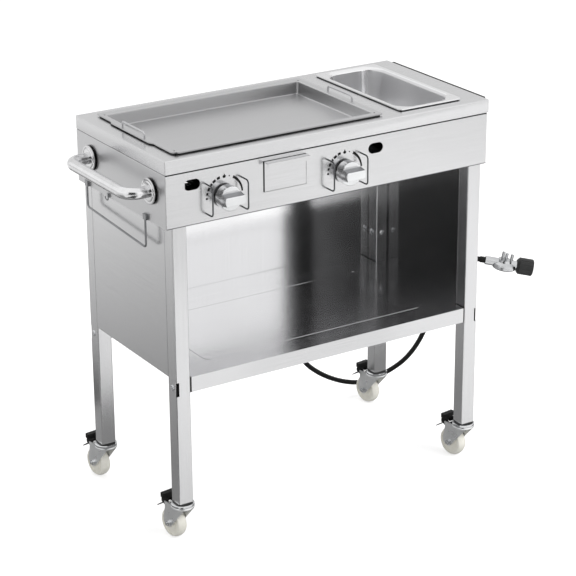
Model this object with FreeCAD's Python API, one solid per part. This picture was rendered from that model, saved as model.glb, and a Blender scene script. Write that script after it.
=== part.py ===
# Outdoor gas griddle station: a stainless cart on casters with a drop-in griddle over two
# burners, a lift-out food pan, a pull-out grease drawer, a push handle and a gas hose.
# Millimetres. X runs along the front to the right, Y to the back, Z up from the floor.
# Everything is laid out about the middle of the worktop, and moved as one at the end.

import FreeCAD, Part
import math
import os

from FreeCAD import Vector

# Driving dimensions: worktop, burner box and sheet metal
TOP_W = 900.0
TOP_D = 435.0
TOP_H = 965.0
LIP_H = 32.5
SHEET = 1.2
SLIP = 0.3
BEND_R = 2.5
GROOVE = 1.5
GROOVE_SET = 1.0
BOX_DEPTH = 162.0
BOX_FLANGE = 20.0
BUMPER_THICK = 7.0
BUMPER_H = 24.0
BUMPER_FRONT = 24.5
BUMPER_BACK = 21.5

# Driving dimensions: legs, panels and shelf
LEG = 38.0
LEG_WALL = 1.2
LEG_CORNER_R = 3.0
LEG_SET = 15.0
LEG_TOP_DROP = 60.0
NOTCH_W = 8.0
NOTCH_DEEP = 4.0
NOTCH_H = 35.0
PANEL_SET = 0.5
PANEL_FLANGE = 5.0
TOP_FLANGE = 15.0
PANEL_FOOT = 18.0
PANEL_LAP = 38.0
SHELF_TOP = 429.0
SHELF_LIP = 38.0
SHELF_END_GAP = 3.5
SHELF_TAB = 30.0
BEAD_W = 5.0
BEAD_DEEP = 0.6
BEAD_X = 108.0
BEAD_Y = 65.0
BEAD_R = 22.0

# Driving dimensions: griddle
GRIDDLE_LEFT_SET = 39.0
GRIDDLE_FRONT_SET = 27.5
GRIDDLE_BACK_SET = 33.5
GRIDDLE_TO_PAN = 52.0
GRIDDLE_CORNER_R = 6.0
GRIDDLE_FRONT_LEFT_R = 18.0
GRIDDLE_EAR = 6.0
EAR_FRONT = -83.0
EAR_BACK = 99.0
EAR_SLOPE = 14.0
RIM_LEFT = 13.5
RIM_RIGHT = 18.5
RIM_FRONT = 18.0
RIM_BACK = 24.0
RIM_THICK = 3.0
RIM_SEAL = 3.0
SEAL_SET = 4.0
SEAT_GAP = 0.1
TRAY_DEEP = 31.0
TRAY_SLOPE = 5.0
TRAY_CORNER_R = 4.0
TRAY_FOLD_R = 3.0
RELIEF_R = 2.5
RELIEF_DEEP = 2.0
PLATE = 4.0
DROP_IN = 2.0
DRAIN_X = -134.0
DRAIN_Y = -152.0
DRAIN_R = 9.0
SPOUT_WALL = 1.5
SPOUT_LONG = 14.0
GRIP_ROD = 5.0
GRIP_POSTS = 106.0
GRIP_RISE = 17.0
GRIP_BEND = 7.0
GRIP_LEFT_Y = -3.0
GRIP_RIGHT_Y = -15.0
GRIP_LEFT_SET = 5.0
GRIP_RIGHT_SET = 7.5

# Driving dimensions: food pan
PAN_W = 183.0
PAN_RIGHT_SET = 55.0
PAN_FRONT_SET = 31.5
PAN_BACK_SET = 25.5
PAN_RIM = 16.0
PAN_RIM_R = 10.0
PAN_MOUTH_R = 48.0
PAN_DEEP = 100.0
PAN_DRAFT = 9.0
PAN_FLOOR_R = 16.0
PAN_SHEET = 1.0
PAN_CURL = 1.8
PAN_SEAL = 4.0

# Driving dimensions: controls
KNOB_X = (-296.0, 32.5)
KNOB_DROP = 107.0
KNOB_R = 29.0
KNOB_GAP = 6.0
KNOB_BODY = 24.0
KNOB_EDGE = 1.0
GRIP_BAR = 20.0
GRIP_BAR_H = 28.0
BAR_FRONT_H = 20.6
BAR_FRONT_R = 26.5
BAR_EDGE = 1.2
STEM_R = 4.0
STEM_FLAT = 1.2
STEM_IN = 32.0
STEM_OUT = 16.0
KNOB_PUSH = 4.0
STEM_HOLE_R = 6.0
SHAFT_GAP = 0.05
GUARD_ROD = 3.8
GUARD_X = 47.0
GUARD_TOP_DROP = 70.0
GUARD_LOW_DROP = 145.0
GUARD_OUT = 29.0
GUARD_BEND = 9.0
LIGHT_X = (-380.6, 120.0)
LIGHT_DROP = 65.8
LIGHT_W = 42.0
LIGHT_H = 25.5

# Driving dimensions: grease drawer
DRAWER_LEFT = -192.0
DRAWER_RIGHT = -76.0
DRAWER_TOP_DROP = 45.0
DRAWER_LOW_DROP = 118.5
DRAWER_LIP = 21.0
DRAWER_TURN = 11.0
DRAWER_LONG = 165.0
DRAWER_TRAY_H = 32.0
DRAWER_GAP = 1.0
CRADLE_WALL = 18.0

# Driving dimensions: gas train
MANIFOLD_R = 11.0
MANIFOLD_DROP = 28.0
MANIFOLD_SET = 24.0
MANIFOLD_END = 26.0
FEED_R = 8.0
INLET_TO_BAFFLE = 14.0
INLET_DROP = 18.0
INLET_OUT = 40.5
BURNER_R = 14.0
BURNER_WALL = 1.5
BURNER_SPREAD = 118.0
BURNER_BACK = 128.0
BURNER_FRONT = -120.0
VENTURI_R = 19.0
VENTURI_LONG = 26.0
PORTS = 8
BAFFLE_SET = 26.0
VENT_LONG = 60.0
VENT_W = 8.0
VENT_SPREAD = 50.0
VENT_PITCH = 100.0

# Driving dimensions: push handle, tool rail and hook
HANDLE_TUBE = 28.0
HANDLE_WALL = 1.5
HANDLE_STAND = 60.0
HANDLE_DROP = 87.0
HANDLE_FRONT = -149.0
HANDLE_BACK = 145.0
HANDLE_BEND = 32.0
ROSE_R = 31.0
ROSE_DISC = 2.4
ROSE_RING_R = 25.0
ROSE_RING = 5.5
ROSE_EDGE = 0.8
ROSE_COLLAR = 2.5
ROSE_THICK = 9.0
ROSE_SEAT = 3.0
RAIL_ROD = 5.0
RAIL_OUT = 1.0
RAIL_FRONT = -125.0
RAIL_BACK = 165.0
RAIL_FRONT_DROP = 230.0
RAIL_BACK_DROP = 214.0
RAIL_BEND = 9.0
RAIL_TAB = 14.0
HOOK_Y = 66.0
HOOK_ROD = 3.0

# Driving dimensions: casters, seen along the axle with the wheel trailing towards +Y
WHEEL_CLEAR = 15.0
CASTER_TURN = 8.0
PLUG_RIM = 4.0
PLUG_LONG = 22.0
RACE_R = 28.5
RACE_THICK = 5.0
RACE_GROOVE = 1.5
RACE_INNER_R = 23.0
CROWN_THICK = 6.0
KING_R = 5.0
KING_HEAD_R = 8.0
KING_HEAD = 3.0
PLAY = 0.3
WHEEL_R = 37.5
WHEEL_W = 24.0
WHEEL_CROWN = 3.0
HUB_W = 26.0
HUB_R = 11.0
TRAIL = 35.5
FORK_IN = 28.0
FORK_PLATE = 2.0
FORK_FRONT = 24.0
FORK_LOBE_R = 17.0
LOBE_BACK = 4.0
LOBE_UP = 6.0
FORK_WAIST = 50.0
FORK_BACK = 53.0
AXLE_R = 4.0
AXLE_HEAD_R = 7.0
AXLE_HEAD = 5.0
AXLE_STUB = 4.0
PEDAL_PIN_R = 2.0
PEDAL_PIN_Y = 46.0
PEDAL_PIN_DROP = 3.0
PEDAL_W = 24.0
PEDAL_SHEET = 2.0
PAD_W = 38.0
PAD_NEAR = 4.0
PAD_FAR = 17.0
PAD_UP = 11.7
PAD_THICK = 11.0
TAB_W = 20.0
TAB_REACH = 43.0
TAB_LOW = 22.0

# Driving dimensions: hose and regulator
HOSE_R = 6.5
HOSE_ROUTE = (
    (172.0, 258.0, 812.0), (172.0, 258.0, 740.0), (167.0, 264.0, 612.0), (163.0, 268.0, 462.0),
    (166.0, 268.0, 330.0), (186.5, 268.0, 224.0), (227.7, 274.0, 142.4), (287.4, 281.0, 91.1),
    (349.6, 285.0, 54.9), (404.8, 286.0, 35.4), (441.4, 286.0, 30.9), (482.4, 284.0, 37.4),
    (513.0, 266.0, 58.0), (529.0, 240.0, 85.0), (526.0, 201.0, 122.0), (518.0, 160.0, 163.0),
    (511.0, 121.0, 211.0), (499.0, 80.0, 267.0), (483.0, 38.0, 329.0), (466.0, 0.0, 389.0),
    (453.0, -38.0, 449.0), (447.5, -70.0, 490.0), (453.0, -101.0, 516.0),
    (474.1, -133.9, 523.5), (505.8, -153.7, 516.5),
)
ARC_SHARE = 0.45
FERRULE_R = 8.0
FERRULE_LONG = 19.0
REG_R = 31.0
REG_BODY_R = 11.0
REG_LONG = 62.0
REG_DISC = 24.0
NECK_R = 8.0
NIPPLE_R = 7.0
NIPPLE_BORE_R = 3.0
NIPPLE_LONG = 48.0
NUT_R = 21.5
NUT_LONG = 42.0
NUT_CAVITY_R = 16.0
NUT_CAVITY = 24.0
NUT_FLUTES = 12
CLIP_WIDTH = 12.0
CLIP_BAND = 1.2
INNER_SCREW_UP = 80.0
SCREW_HEAD_R = 8.0
SCREW_HEAD = 2.6
SCREW_R = 3.0

# Places that follow from the dimensions above
HALF_W = TOP_W / 2
HALF_D = TOP_D / 2
BOX_X = HALF_W
BOX_Y = HALF_D
BOX_IN_X = BOX_X - SHEET
BOX_IN_Y = BOX_Y - SHEET
BOX_LOW = TOP_H - BOX_DEPTH
SHEET_UNDER = TOP_H - SHEET
LIP_LOW = TOP_H - LIP_H
BOX_TOP = LIP_LOW - GROOVE
LEG_OUT_X = HALF_W - LEG_SET
LEG_OUT_Y = BOX_IN_Y
LEG_IN_X = LEG_OUT_X - LEG
LEG_IN_Y = LEG_OUT_Y - LEG
LEG_MID_X = LEG_OUT_X - LEG / 2
LEG_MID_Y = LEG_OUT_Y - LEG / 2
LEG_TOP = TOP_H - LEG_TOP_DROP
PANEL_X = LEG_OUT_X - PANEL_SET
BACK_Y = LEG_OUT_Y - PANEL_SET
PANEL_LOW = SHELF_TOP - 2 * SHEET
PANEL_TOP = BOX_LOW + PANEL_LAP
SHELF_LOW = SHELF_TOP - SHELF_LIP
FLOOR_SHEET = BOX_LOW + SHEET
KNOB_Z = TOP_H - KNOB_DROP
HANDLE_X = -HALF_W - HANDLE_STAND
HANDLE_Z = TOP_H - HANDLE_DROP
PAN_RIGHT = HALF_W - PAN_RIGHT_SET
PAN_LEFT = PAN_RIGHT - PAN_W
PAN_FRONT = -HALF_D + PAN_FRONT_SET
PAN_BACK = HALF_D - PAN_BACK_SET
GRIDDLE_LEFT = -HALF_W + GRIDDLE_LEFT_SET
GRIDDLE_RIGHT = PAN_LEFT - GRIDDLE_TO_PAN
GRIDDLE_FRONT = -HALF_D + GRIDDLE_FRONT_SET
GRIDDLE_BACK = HALF_D - GRIDDLE_BACK_SET
BAFFLE_X = GRIDDLE_RIGHT + BAFFLE_SET
INLET_X = BAFFLE_X - INLET_TO_BAFFLE
TRAY = (GRIDDLE_LEFT + RIM_LEFT, GRIDDLE_RIGHT - RIM_RIGHT,
        GRIDDLE_FRONT + RIM_FRONT, GRIDDLE_BACK - RIM_BACK)
RIM_LOW = TOP_H + RIM_SEAL + SEAT_GAP
RIM_TOP = RIM_LOW + RIM_THICK
PAN_MOUTH = (PAN_LEFT + PAN_RIM, PAN_RIGHT - PAN_RIM, PAN_FRONT + PAN_RIM, PAN_BACK - PAN_RIM)
PAN_RIM_LOW = TOP_H + PAN_SEAL + SEAT_GAP
DRAWER_TOP = TOP_H - DRAWER_TOP_DROP
DRAWER_LOW = TOP_H - DRAWER_LOW_DROP
MANIFOLD_Y = -BOX_IN_Y + MANIFOLD_SET
MANIFOLD_Z = KNOB_Z - MANIFOLD_DROP
CROWN_LOW = 2 * WHEEL_R + WHEEL_CLEAR
CROWN_TOP = CROWN_LOW + CROWN_THICK
RACE_TOP = CROWN_TOP + PLAY + RACE_GROOVE + RACE_THICK
CASTER_H = RACE_TOP + PLUG_RIM
PEDAL_PIN_Z = CROWN_LOW - PEDAL_PIN_DROP
CORNERS = {
    "front_left": (-1, -1),
    "front_right": (1, -1),
    "back_left": (-1, 1),
    "back_right": (1, 1),
}
UP = Vector(0, 0, 1)


# Small helpers
def box(x0, x1, y0, y1, z0, z1):
    return Part.makeBox(x1 - x0, y1 - y0, z1 - z0, Vector(x0, y0, z0))


def cylinder(radius, start, end):
    run = end - start
    return Part.makeCylinder(radius, run.Length, start, run)


def fuse(shapes):
    first = shapes[0]
    return first.fuse(list(shapes[1:])).removeSplitter() if len(shapes) > 1 else first


def group(shapes):
    return Part.makeCompound(shapes)


def rounded_wire(area, z, radius):
    x0, x1, y0, y1 = area
    points = [Vector(x0, y0, z), Vector(x1, y0, z), Vector(x1, y1, z), Vector(x0, y1, z)]
    return corner_wire(points, [radius] * 4)


def corner_wire(points, radii):
    """A closed flat outline whose corners are rounded, each with its own radius."""
    edges = []
    count = len(points)
    starts = []
    ends = []
    for i, point in enumerate(points):
        back = (points[i - 1] - point).normalize()
        ahead = (points[(i + 1) % count] - point).normalize()
        half = back.getAngle(ahead) / 2
        reach = radii[i] / math.tan(half)
        first = point + back * reach
        last = point + ahead * reach
        centre = point + (back + ahead).normalize() * (radii[i] / math.sin(half))
        middle = centre + (point - centre).normalize() * radii[i]
        starts.append(first)
        ends.append(last)
        if radii[i] > 0:
            edges.append(Part.Arc(first, middle, last).toShape())
    for i in range(count):
        edges.append(Part.LineSegment(ends[i], starts[(i + 1) % count]).toShape())
    return Part.Wire(Part.__sortEdges__(edges))


def plate(wire, height):
    return Part.Face(wire).extrude(Vector(0, 0, height))


def grown(area, by):
    x0, x1, y0, y1 = area
    return (x0 - by, x1 + by, y0 - by, y1 + by)


def tapered(area, z_top, z_low, slope, radius, low_radius):
    """A solid with rounded corners that narrows on its way down."""
    top = rounded_wire(area, z_top, radius)
    low = rounded_wire(grown(area, -slope), z_low, low_radius)
    return Part.makeLoft([low, top], True, True)


def path_edges(points, radii):
    """Straight runs joined by tangent arcs of the given radii, and the path's length."""
    edges = []
    here = points[0]
    length = 0.0
    for i in range(1, len(points) - 1):
        back = (points[i - 1] - points[i]).normalize()
        ahead = (points[i + 1] - points[i]).normalize()
        turn = math.pi - back.getAngle(ahead)
        reach = radii[i - 1] * math.tan(turn / 2)
        first = points[i] + back * reach
        last = points[i] + ahead * reach
        centre = points[i] + (back + ahead).normalize() * (radii[i - 1] / math.cos(turn / 2))
        middle = centre + (points[i] - centre).normalize() * radii[i - 1]
        edges.append(Part.LineSegment(here, first).toShape())
        edges.append(Part.Arc(first, middle, last).toShape())
        length += (first - here).Length + radii[i - 1] * turn
        here = last
    edges.append(Part.LineSegment(here, points[-1]).toShape())
    length += (points[-1] - here).Length
    return edges, length


def rod(points, radius, bend):
    """A round bar bent at each inner point to one radius."""
    vectors = [Vector(*p) for p in points]
    edges, _ = path_edges(vectors, [bend] * (len(vectors) - 2))
    circle = Part.Circle(vectors[0], vectors[1] - vectors[0], radius).toShape()
    return Part.Wire(edges).makePipeShell([Part.Wire([circle])], True, False)


def revolved(profile, origin=Vector(0, 0, 0), axis=UP):
    """A turned piece: its profile lists (radius, height) points along the axis."""
    points = [Vector(r, 0, h) for r, h in profile]
    face = Part.Face(Part.makePolygon(points + [points[0]]))
    solid = face.revolve(Vector(0, 0, 0), UP, 360)
    return placed(solid, origin, axis)


def placed(shape, origin, axis):
    """Turns a shape built along Z onto an axis, and moves it to its origin."""
    turn = FreeCAD.Rotation(UP, axis)
    copy = shape.copy()
    copy.Placement = FreeCAD.Placement(origin, turn).multiply(copy.Placement)
    return copy


# Worktop and burner box
def griddle_outline(z, inset):
    left = GRIDDLE_LEFT + inset
    ear = left - GRIDDLE_EAR
    right = GRIDDLE_RIGHT - inset
    front = GRIDDLE_FRONT + inset
    back = GRIDDLE_BACK - inset
    points = [(left, front), (right, front), (right, back), (left, back),
              (left, EAR_BACK + EAR_SLOPE), (ear, EAR_BACK), (ear, EAR_FRONT),
              (left, EAR_FRONT - EAR_SLOPE)]
    corner = GRIDDLE_CORNER_R
    radii = [GRIDDLE_FRONT_LEFT_R] + [corner] * 3 + [corner / 2] * 4
    return corner_wire([Vector(x, y, z) for x, y in points], radii)


def griddle_cutout():
    return grown(TRAY, RIM_THICK + DROP_IN)


def pan_cutout():
    return grown(PAN_MOUTH, PAN_SHEET + DROP_IN)


def worktop():
    """Pressed top with a lip turned down all round, and the lip's edge turned in again."""
    outer = box(-HALF_W, HALF_W, -HALF_D, HALF_D, LIP_LOW, TOP_H)
    rounded = [e for e in outer.Edges if e.BoundBox.ZMax > LIP_LOW + SHEET]
    outer = outer.makeFillet(BEND_R, rounded)
    inner_x = HALF_W - SHEET
    inner_y = HALF_D - SHEET
    inner = box(-inner_x, inner_x, -inner_y, inner_y, LIP_LOW + SHEET, SHEET_UNDER)
    rounded = [e for e in inner.Edges if e.BoundBox.ZMax > LIP_LOW + 2 * SHEET]
    inner = inner.makeFillet(BEND_R - SHEET, rounded)
    open_area = (-HALF_W + TOP_FLANGE, HALF_W - TOP_FLANGE,
                 -HALF_D + TOP_FLANGE, HALF_D - TOP_FLANGE)
    opening = plate(rounded_wire(open_area, LIP_LOW - SHEET, BEND_R), 3 * SHEET)
    low = SHEET_UNDER - SHEET
    griddle_hole = plate(rounded_wire(griddle_cutout(), low, TRAY_CORNER_R + RIM_THICK), LIP_H)
    pan_hole = plate(rounded_wire(pan_cutout(), low, PAN_MOUTH_R + DROP_IN), LIP_H)
    return outer.cut([inner, opening, griddle_hole, pan_hole])


def bumper_strip():
    strip = box(HALF_W, HALF_W + BUMPER_THICK, -HALF_D + BUMPER_FRONT, HALF_D - BUMPER_BACK,
                TOP_H - BEND_R - BUMPER_H, TOP_H - BEND_R)
    far = [e for e in strip.Edges if e.BoundBox.XMin > HALF_W + SHEET]
    return strip.makeFillet(BUMPER_THICK / 4, far)


def leg_hole(sign, z0, z1, slack):
    """The square space that a leg takes, with some slack round it."""
    x = sign[0] * LEG_MID_X
    y = sign[1] * LEG_MID_Y
    half = LEG / 2 + slack
    return box(x - half, x + half, y - half, y + half, z0, z1)


def slot(x, z, width, height, y0, y1):
    """A round-ended hole through a panel, seen along Y."""
    radius = height / 2
    half = width / 2 - radius
    ends = [cylinder(radius, Vector(x + s * half, y0, z), Vector(x + s * half, y1, z))
            for s in (-1, 1)]
    return fuse(ends + [box(x - half, x + half, y0, y1, z - radius, z + radius)])


def burner_box():
    """Open-bottomed box flush with the worktop's lip, with a flange turned in at each end."""
    area = (-BOX_X, BOX_X, -BOX_Y, BOX_Y)
    height = BOX_TOP - BOX_LOW
    body = plate(rounded_wire(area, BOX_LOW, BEND_R), height)
    body = body.makeFillet(BEND_R - SHEET / 2, [e for e in body.Edges
                                                if e.BoundBox.ZMin > BOX_TOP - SHEET])
    hollow = plate(rounded_wire(grown(area, -SHEET), BOX_LOW + SHEET, BEND_R - SHEET),
                   height - 2 * SHEET)
    low_open = plate(rounded_wire(grown(area, -BOX_FLANGE), BOX_LOW - SHEET, BEND_R), 3 * SHEET)
    top_open = plate(rounded_wire(grown(area, -TOP_FLANGE), BOX_TOP - 2 * SHEET, BEND_R),
                     3 * SHEET)
    cuts = [hollow, low_open, top_open]
    cuts += [leg_hole(sign, BOX_LOW - SHEET, BOX_LOW + 2 * SHEET, 0) for sign in CORNERS.values()]
    cuts += panel_passages()
    front = -BOX_Y - SHEET
    behind = -BOX_IN_Y + SHEET
    for x in LIGHT_X:
        cuts.append(slot(x, TOP_H - LIGHT_DROP, LIGHT_W, LIGHT_H, front, behind))
    for x in KNOB_X:
        cuts.append(cylinder(STEM_HOLE_R, Vector(x, front, KNOB_Z), Vector(x, behind, KNOB_Z)))
    cuts.append(box(DRAWER_LEFT - DRAWER_GAP, DRAWER_RIGHT + DRAWER_GAP, front, behind,
                    DRAWER_LOW - DRAWER_GAP, DRAWER_TOP + DRAWER_GAP))
    cuts.append(cylinder(FEED_R, Vector(INLET_X, BOX_IN_Y - SHEET, MANIFOLD_Z),
                         Vector(INLET_X, BOX_Y + SHEET, MANIFOLD_Z)))
    return body.cut(cuts)


def panel_passages():
    """Where the side and back panels stand up through the box's bottom flange."""
    low = BOX_LOW - SHEET
    top = BOX_LOW + 2 * SHEET
    deep = PANEL_FLANGE + SHEET
    sides = [box(min(s * PANEL_X, s * (PANEL_X - deep)), max(s * PANEL_X, s * (PANEL_X - deep)),
                 -LEG_IN_Y, LEG_IN_Y, low, top) for s in (-1, 1)]
    return sides + [box(-LEG_IN_X, LEG_IN_X, BOX_Y - BOX_FLANGE - SHEET, BOX_IN_Y, low, top)]


def box_floor():
    """Heat shield that closes the burner box, lying on its bottom flange, with air slots."""
    gap = 2 * SLIP
    side = PANEL_X - SHEET - PANEL_FLANGE - gap
    back = BACK_Y - SHEET - PANEL_FLANGE - gap
    sheet = box(-side, side, -BOX_IN_Y + gap, back, FLOOR_SHEET, FLOOR_SHEET + SHEET)
    cuts = [leg_hole(sign, BOX_LOW, BOX_LOW + LEG, gap) for sign in CORNERS.values()]
    centres = [x + side * VENT_SPREAD for x in KNOB_X for side in (-1, 1)]
    for x in centres:
        for y in (-VENT_PITCH / 2, VENT_PITCH / 2):
            cuts.append(box(x - VENT_LONG / 2, x + VENT_LONG / 2, y - VENT_W / 2, y + VENT_W / 2,
                            FLOOR_SHEET - SHEET, FLOOR_SHEET + 2 * SHEET))
    return sheet.cut(cuts)


def heat_baffle():
    """Upright sheet between the burners and the food pan, standing on the box's floor."""
    low = FLOOR_SHEET + SHEET
    top = SHEET_UNDER
    back = BOX_Y - TOP_FLANGE - 2 * SLIP
    front = MANIFOLD_Y + MANIFOLD_R + SLIP
    wall = box(BAFFLE_X, BAFFLE_X + SHEET, front, back, low, top)
    foot = box(BAFFLE_X, BAFFLE_X + TOP_FLANGE, front, back, low, low + SHEET)
    return fuse([wall, foot])


# Legs, panels and shelf
def leg(sign):
    x = sign[0] * LEG_MID_X
    y = sign[1] * LEG_MID_Y
    half = LEG / 2
    area = (x - half, x + half, y - half, y + half)
    tall = LEG_TOP - CASTER_H
    tube = plate(rounded_wire(area, CASTER_H, LEG_CORNER_R), tall)
    bore = plate(rounded_wire(grown(area, -LEG_WALL), CASTER_H, LEG_CORNER_R - LEG_WALL), tall)
    outer_x = sign[0] * LEG_OUT_X
    outer_y = sign[1] * LEG_OUT_Y
    notch = box(min(outer_x, outer_x - sign[0] * NOTCH_W), max(outer_x, outer_x - sign[0] * NOTCH_W),
                min(outer_y, outer_y - sign[1] * NOTCH_DEEP),
                max(outer_y, outer_y - sign[1] * NOTCH_DEEP),
                notch_low(), notch_low() + NOTCH_H)
    return tube.cut([bore, notch])


def notch_low():
    return SHELF_LOW - NOTCH_W / 2


def leg_insert(sign):
    """Nut plate inside a leg, behind the notch, that the shelf's side screw threads into."""
    wall = LEG_OUT_X - LEG_WALL
    thick = 2 * LEG_WALL
    long = NOTCH_H + 2 * NOTCH_W
    low = notch_low() - NOTCH_W
    x0 = wall - thick
    y1 = LEG_OUT_Y - LEG_CORNER_R
    y0 = LEG_OUT_Y - LEG + LEG_CORNER_R
    block = box(x0, wall, y0, y1, low, low + long)
    hole = cylinder(SCREW_R, Vector(x0 - thick, side_screw_y(), side_screw_z()),
                    Vector(wall + thick, side_screw_y(), side_screw_z()))
    return mirrored(block.cut(hole), sign)


def mirrored(shape, sign):
    """Copies a piece made for the back right corner to another corner."""
    copy = shape
    if sign[0] < 0:
        copy = copy.mirror(Vector(0, 0, 0), Vector(1, 0, 0))
    if sign[1] < 0:
        copy = copy.mirror(Vector(0, 0, 0), Vector(0, 1, 0))
    return copy


def side_screw_y():
    return LEG_MID_Y + SCREW_R / 2


def side_screw_z():
    return SHELF_TOP - 3 * SCREW_HEAD_R


def side_panel(side):
    """Panel between two legs, with edges turned in along the legs and under the shelf."""
    x = PANEL_X
    skin = box(x - SHEET, x, -LEG_IN_Y, LEG_IN_Y, PANEL_LOW, PANEL_TOP)
    foot = box(x - PANEL_FOOT, x, -LEG_IN_Y, LEG_IN_Y, PANEL_LOW, PANEL_LOW + SHEET)
    edges = [box(x - PANEL_FLANGE, x, min(y, y - s * SHEET), max(y, y - s * SHEET),
                 SHELF_TOP, PANEL_TOP) for s, y in ((1, LEG_IN_Y), (-1, -LEG_IN_Y))]
    panel = fuse([skin, foot] + edges)
    return panel if side > 0 else panel.mirror(Vector(0, 0, 0), Vector(1, 0, 0))


def back_panel():
    x = LEG_IN_X
    skin = box(-x, x, BACK_Y - SHEET, BACK_Y, PANEL_LOW, PANEL_TOP)
    edges = [box(min(s * x, s * (x - SHEET)), max(s * x, s * (x - SHEET)),
                 BACK_Y - PANEL_FLANGE, BACK_Y, SHELF_TOP, PANEL_TOP) for s in (-1, 1)]
    passage = box(INLET_X - FEED_R - SLIP, INLET_X + FEED_R + SLIP, BACK_Y - LEG, BACK_Y + LEG,
                  MANIFOLD_Z - FEED_R - SLIP, PANEL_TOP + SLIP)
    return fuse([skin] + edges).cut(passage)


def shelf():
    side = PANEL_X - SHEET
    front = -LEG_OUT_Y + SLIP
    back = BACK_Y - SHEET
    end = LEG_IN_X - SHELF_END_GAP
    top = box(-side, side, front, back, SHELF_TOP - SHEET, SHELF_TOP)
    lips = [box(-end, end, min(y, y - s * SHEET), max(y, y - s * SHEET), SHELF_LOW, SHELF_TOP)
            for s, y in ((1, back), (-1, front))]
    tabs = [box(min(sx * end, sx * (end - SHEET)), max(sx * end, sx * (end - SHEET)),
                min(y, y - sy * SHELF_TAB), max(y, y - sy * SHELF_TAB), SHELF_LOW, SHELF_TOP)
            for sx in (-1, 1) for sy, y in ((1, back), (-1, front))]
    plain = fuse([top] + lips + tabs)
    gap = SHELF_END_GAP
    corners = []
    for sx, sy in CORNERS.values():
        x = sx * (LEG_OUT_X + gap)
        y = sy * (LEG_OUT_Y + gap)
        inner_x = sx * end
        inner_y = sy * (LEG_IN_Y - SLIP)
        corners.append(box(min(x, inner_x), max(x, inner_x), min(y, inner_y), max(y, inner_y),
                           SHELF_LOW - gap, SHELF_TOP + gap))
    return plain.cut(corners + [shelf_bead()])


def shelf_bead():
    """Stiffening line pressed into the shelf: a rounded rectangle."""
    area = (-HALF_W + BEAD_X + BEAD_R, HALF_W - BEAD_X - BEAD_R, -HALF_D + BEAD_Y, HALF_D - BEAD_Y)
    low = SHELF_TOP - BEAD_DEEP
    outer = plate(rounded_wire(area, low, BEAD_R), SHEET)
    inner = plate(rounded_wire(grown(area, -BEAD_W), low, BEAD_R - BEAD_W), SHEET)
    return outer.cut(inner)


def shelf_spacer(sign):
    """Rubber block that fills the gap between a leg and the end of the shelf's lip."""
    end = LEG_IN_X - SHELF_END_GAP
    front = LEG_OUT_Y - SLIP if sign[1] < 0 else BACK_Y - SHEET
    block = box(end, LEG_IN_X, LEG_IN_Y - SLIP, front, SHELF_LOW, SHELF_TOP)
    return mirrored(block, sign)


def screw(head_at, axis):
    """Pan-head screw whose shank points back along the axis."""
    head = [(0, 0), (SCREW_HEAD_R, 0), (SCREW_HEAD_R, SCREW_HEAD / 3),
            (SCREW_HEAD_R * 0.72, SCREW_HEAD * 0.85), (0, SCREW_HEAD)]
    shank = cylinder(SCREW_R, Vector(0, 0, -LEG_WALL * 3), Vector(0, 0, 0))
    return placed(fuse([revolved(head), shank]), head_at, axis)


def screw_hole(head_at, axis):
    deep = LEG_WALL * 3
    return placed(Part.makeCylinder(SCREW_R, deep, Vector(0, 0, -deep)), head_at, axis)


def frame_screws():
    """Screws into the shelf from each leg's side, and into each leg from the two panels."""
    places = []
    for sx, sy in CORNERS.values():
        places.append((Vector(sx * LEG_OUT_X, sy * side_screw_y(), side_screw_z()),
                       Vector(sx, 0, 0)))
        inside = SHELF_TOP + INNER_SCREW_UP
        places.append((Vector(sx * LEG_MID_X, sy * LEG_IN_Y, inside),
                       Vector(0, -sy, 0)))
        if sy > 0:
            places.append((Vector(sx * LEG_IN_X, sy * LEG_MID_Y, inside),
                           Vector(-sx, 0, 0)))
    clip, _ = clip_place()
    places.append((Vector(PANEL_X + CLIP_BAND * 1.5, clip.y, clip_screw_z()), Vector(1, 0, 0)))
    return places


# Griddle, pan and their seals
def griddle():
    """Cooking plate with a flat rim and a sunk floor, and a spout over the grease drawer."""
    rim = plate(griddle_outline(RIM_LOW, 0), RIM_THICK)
    low = RIM_TOP - TRAY_DEEP
    wall = RIM_THICK
    outside = tapered(grown(TRAY, wall), RIM_LOW + RIM_THICK / 2, low - PLATE, TRAY_SLOPE,
                      TRAY_CORNER_R + wall, TRAY_CORNER_R)
    inside = tapered(TRAY, RIM_TOP, low, TRAY_SLOPE, TRAY_CORNER_R, TRAY_CORNER_R)
    inside = inside.makeFillet(TRAY_FOLD_R, [e for e in inside.Edges if e.BoundBox.ZMax < low + 1])
    end = low - PLATE - SPOUT_LONG
    spout = cylinder(DRAIN_R + SPOUT_WALL, Vector(DRAIN_X, DRAIN_Y, end),
                     Vector(DRAIN_X, DRAIN_Y, low - PLATE / 2))
    drain = cylinder(DRAIN_R, Vector(DRAIN_X, DRAIN_Y, end - PLATE),
                     Vector(DRAIN_X, DRAIN_Y, low + PLATE))
    plain = fuse([rim, outside, spout]).cut([inside, drain])
    folded = plain.makeFillet(TRAY_FOLD_R, [e for e in plain.Edges if round_the_mouth(e.BoundBox)])
    return folded.cut(fold_reliefs())


def round_the_mouth(bound):
    """Whether an edge lies on the rim's top, round the mouth of the tray."""
    x0, x1, y0, y1 = grown(TRAY, TRAY_FOLD_R / 2)
    across = bound.XMin > x0 and bound.XMax < x1 and bound.YMin > y0 and bound.YMax < y1
    return across and bound.ZMin > RIM_TOP - RIM_THICK / 2


def fold_reliefs():
    """Small round dimples in the rim where two of the tray's folds meet."""
    x0, x1, y0, y1 = grown(TRAY, TRAY_FOLD_R)
    return [cylinder(RELIEF_R, Vector(x, y, RIM_TOP - RELIEF_DEEP), Vector(x, y, RIM_TOP + SHEET))
            for x in (x0, x1) for y in (y0, y1)]


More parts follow.
